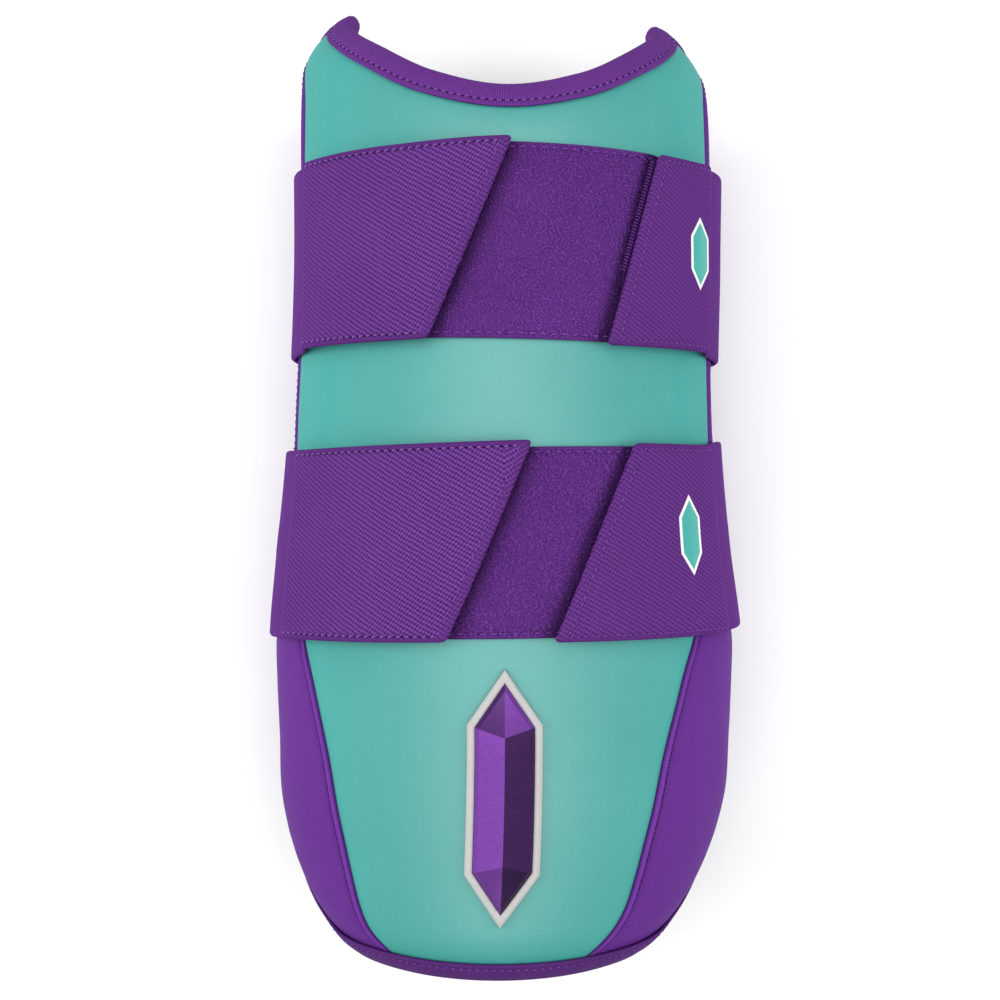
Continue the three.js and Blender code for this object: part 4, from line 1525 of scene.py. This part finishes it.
MOULDED = (
    # name, dark shade, light shade, roughness, metal, coat, mark
    ("badge_border", (0.43, 0.425, 0.42), (0.5, 0.495, 0.485), 0.5, 0.0, 0.0, ""),
    ("badge_plate", (0.272, 0.073, 0.505), (0.288, 0.079, 0.535), 0.28, 0.6, 0.2, "facet"),
    ("print_white", (0.78, 0.78, 0.78), (0.86, 0.86, 0.86), 0.5, 0.0, 0.0, ""),
    ("print_teal", (0.045, 0.35, 0.31), (0.06, 0.39, 0.35), 0.45, 0.0, 0.0, ""),
)
LEATHERS = (
    # name, dark shade, light shade, creases, polish
    ("teal_leather", (0.057, 0.322, 0.292), (0.068, 0.358, 0.326), 0.35, 1.0),
    ("purple_leather", (0.107, 0.025, 0.215), (0.123, 0.03, 0.247), 0.25, 0.05),
)
TAPES = (
    # name, dark shade, light shade
    ("binding_tape", (0.07, 0.015, 0.13), (0.15, 0.04, 0.27)),
)
WEBBINGS = (
    # name, dark shade, light shade, shade where close woven
    ("webbing", (0.008, 0.001, 0.035), (0.205, 0.064, 0.35), (0.085, 0.022, 0.153)),
)
KINDS = (
    (leather, LEATHERS),
    (ribbed_tape, TAPES),
    (webbing_cloth, WEBBINGS),
    (fabric, CLOTHS),
    (moulded, MOULDED),
)
FINISH = {row[0]: make(*row) for make, rows in KINDS for row in rows}


def finish(piece, *finishes, slot=None, stands_for=()):
    """Gives a piece its materials and its place on the guard, and hides the solids that it stands for; its
    slot argument is not used.
    """
    for name in finishes:
        piece.data.materials.append(FINISH[name])
    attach(piece, "root")
    if stands_for:
        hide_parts(*stands_for)
    return piece


# The guard

pads = {
    "front_panel": (front_pad(), "teal_leather"),
    "left_side_panel": (side_pad("left"), "purple_leather"),
    "right_side_panel": (side_pad("right"), "purple_leather"),
}
for node_name, (piece, skin) in pads.items():
    stuff(piece)
    finish(piece, skin, "lining_knit", slot=skin, stands_for=[node_name])

finish(binding_tape(), "binding_tape", slot="binding_tape", stands_for=["edge_binding"])
PAST_THE_ENDS = 140.0  # height beyond the cup and the rim
lower_seams = [seam_line(side, -PAST_THE_ENDS, SEAM_SINKS) for side in SIDES]
upper_seams = [seam_line(side, SEAM_SINKS, PAST_THE_ENDS) for side in SIDES]
rows = stitch_rows("seam", lower_seams) + stitch_rows("upper_seam", upper_seams)
finish(stitching("seam_stitching", *rows), "seam_thread", slot="purple_leather")
holes = needle_holes("seam", lower_seams, HOLE)
finish(stitching("seam_needle_holes", *holes), "needle_hole", slot="purple_leather")

tape_face = tape_line(behind=False)
tape_back = tape_line(behind=True)
high = np.flatnonzero(tape_face[0][:, 1] > RIM_STITCH_FOOT)
rim_face = [part[high[0] : high[-1] + 1] for part in tape_face]
cup_face = [np.concatenate([part[high[-1] :], part[: high[0] + 1]]) for part in tape_face]
finish(stitching("rim_stitching", *stitch_rows("tape_face", [rim_face])), "thread", slot="binding_tape")
holes = needle_holes("tape_face", [rim_face], HOLE)
finish(stitching("rim_needle_holes", *holes), "needle_hole", slot="binding_tape")
rows = stitch_rows("tape_face", [cup_face]) + stitch_rows("tape_back", [tape_back])
finish(stitching("binding_stitching", *rows), "hem_thread", slot="binding_tape")

for seed, (which, strap) in enumerate(STRAPS.items()):
    cloth = webbing(which + "_webbing", strap)
    finish(cloth, "webbing", slot="webbing", stands_for=[which + "_strap"])
    webbing_length(strap)
    backing = loop_band(which + "_loop_backing", strap)
    finish(backing, "loop_backing", slot="loop_pile", stands_for=[which + "_loop_band"])
    finish(loop_pile(which + "_loop_pile", strap, seed), "loop_pile", slot="loop_pile")
    for side in SIDES:
        base = f"{which}_{side}_hook"
        patch = hook_patch(base + "_tape", strap, strap[side])
        finish(patch, "hook_tape", slot="hook_tape", stands_for=[base + "_patch"])
        if strap[side]["shows"] > 0:
            rows = stitch_rows("overcast", [overcast_line(strap, strap[side])])
            finish(stitching(base + "_overcast", *rows), "overcast", slot="hook_tape")
    left_edges, right_edges = (edge_lines(strap, strap[side]) for side in SIDES)
    cuts = [cut_line(strap, strap[side]) for side in SIDES]
    rows = stitch_rows("left_edge", left_edges)
    finish(stitching(which + "_strap_stitching", *rows), "thread", slot="webbing")
    holes = needle_holes("left_edge", left_edges, HOLE) + needle_holes("cut", cuts, CUT_HOLE)
    finish(stitching(which + "_strap_needle_holes", *holes), "needle_hole", slot="webbing")
    rows = stitch_rows("right_edge", right_edges) + stitch_rows("cut", cuts)
    finish(stitching(which + "_strap_hem_stitching", *rows), "hem_thread", slot="webbing")
    rows = stitch_rows("loop_band", band_lines(strap))
    finish(stitching(which + "_loop_stitching", *rows), "loop_pile", slot="loop_pile")
    mark = PRINTS[which]
    finish(strap_print(which + "_print_edge", strap, mark, inset=0.0, low=-0.2, high=0.12), "print_white")
    finish(strap_print(which + "_print", strap, mark, inset=0.75, low=0.0, high=0.2), "print_teal")

finish(badge_border(), "badge_border", slot="badge_border", stands_for=["badge_border"])
facets = finish(badge_plate(), "badge_plate", slot="badge_plate", stands_for=["badge_plate"])
deselect()
facets.select_set(True)
bpy.context.view_layer.objects.active = facets
bpy.ops.object.shade_smooth_by_angle(angle=math.radians(12))

# Floor, light and camera

deselect()
bpy.ops.mesh.primitive_plane_add(size=6, location=(0, 0, -0.0001))
floor = bpy.context.object
floor.name = "floor"
paper, paper_tree, paper_shader = material("pale_floor", Roughness=0.85)
cloud = node(paper_tree, "TexNoise", {"Vector": object_place(paper_tree), "Scale": 30.0}).outputs[0]
pale = shade(paper_tree, cloud, 0.3, 0.7, (0.965, 0.965, 0.965), (0.98, 0.98, 0.98))
paper_tree.links.new(pale, paper_shader.inputs["Base Color"])
floor.data.materials.append(paper)

world = bpy.data.worlds.new("studio")
scene.world = world
world.use_nodes = True
sky = world.node_tree.nodes["Background"]
sky.inputs["Color"].default_value = (1, 1, 1, 1)
sky.inputs["Strength"].default_value = 0.22

LIGHTS = {
    "overhead_softbox": dict(
        place=(-0.03, 0.0, 1.25),
        aim=(-0.03, 0, 0.05),
        size=(1.2, 2.6),
        power=14.8,
        shine=True,
    ),
    "left_softbox": dict(place=(-0.9, 0.1, 0.6), aim=(0, 0, 0.05), size=(0.6, 0.6), power=7.6, shine=False),
    "right_softbox": dict(place=(0.9, 0.0, 0.6), aim=(0, 0, 0.05), size=(0.6, 0.6), power=6.5, shine=False),
}
for name, light in LIGHTS.items():
    deselect()
    bpy.ops.object.light_add(type="AREA", location=light["place"])
    lamp = bpy.context.object
    lamp.name = name
    lamp.data.shape = "RECTANGLE"
    lamp.data.size, lamp.data.size_y = light["size"]
    lamp.data.energy = light["power"]
    lamp.visible_glossy = light["shine"]
    away = Vector(light["place"]) - Vector(light["aim"])
    lamp.rotation_euler = away.to_track_quat("Z", "Y").to_euler()

CAMERA_HEIGHT = 0.464
FOCAL_LENGTH = 54.2
deselect()
bpy.ops.object.camera_add(location=(-0.00088, -0.0039, CAMERA_HEIGHT), rotation=(0, 0, 0))
camera = bpy.context.object
camera.data.lens = FOCAL_LENGTH
camera.data.sensor_width = 36
camera.data.clip_start = 0.01
scene.camera = camera
scene.view_settings.view_transform = "Standard"
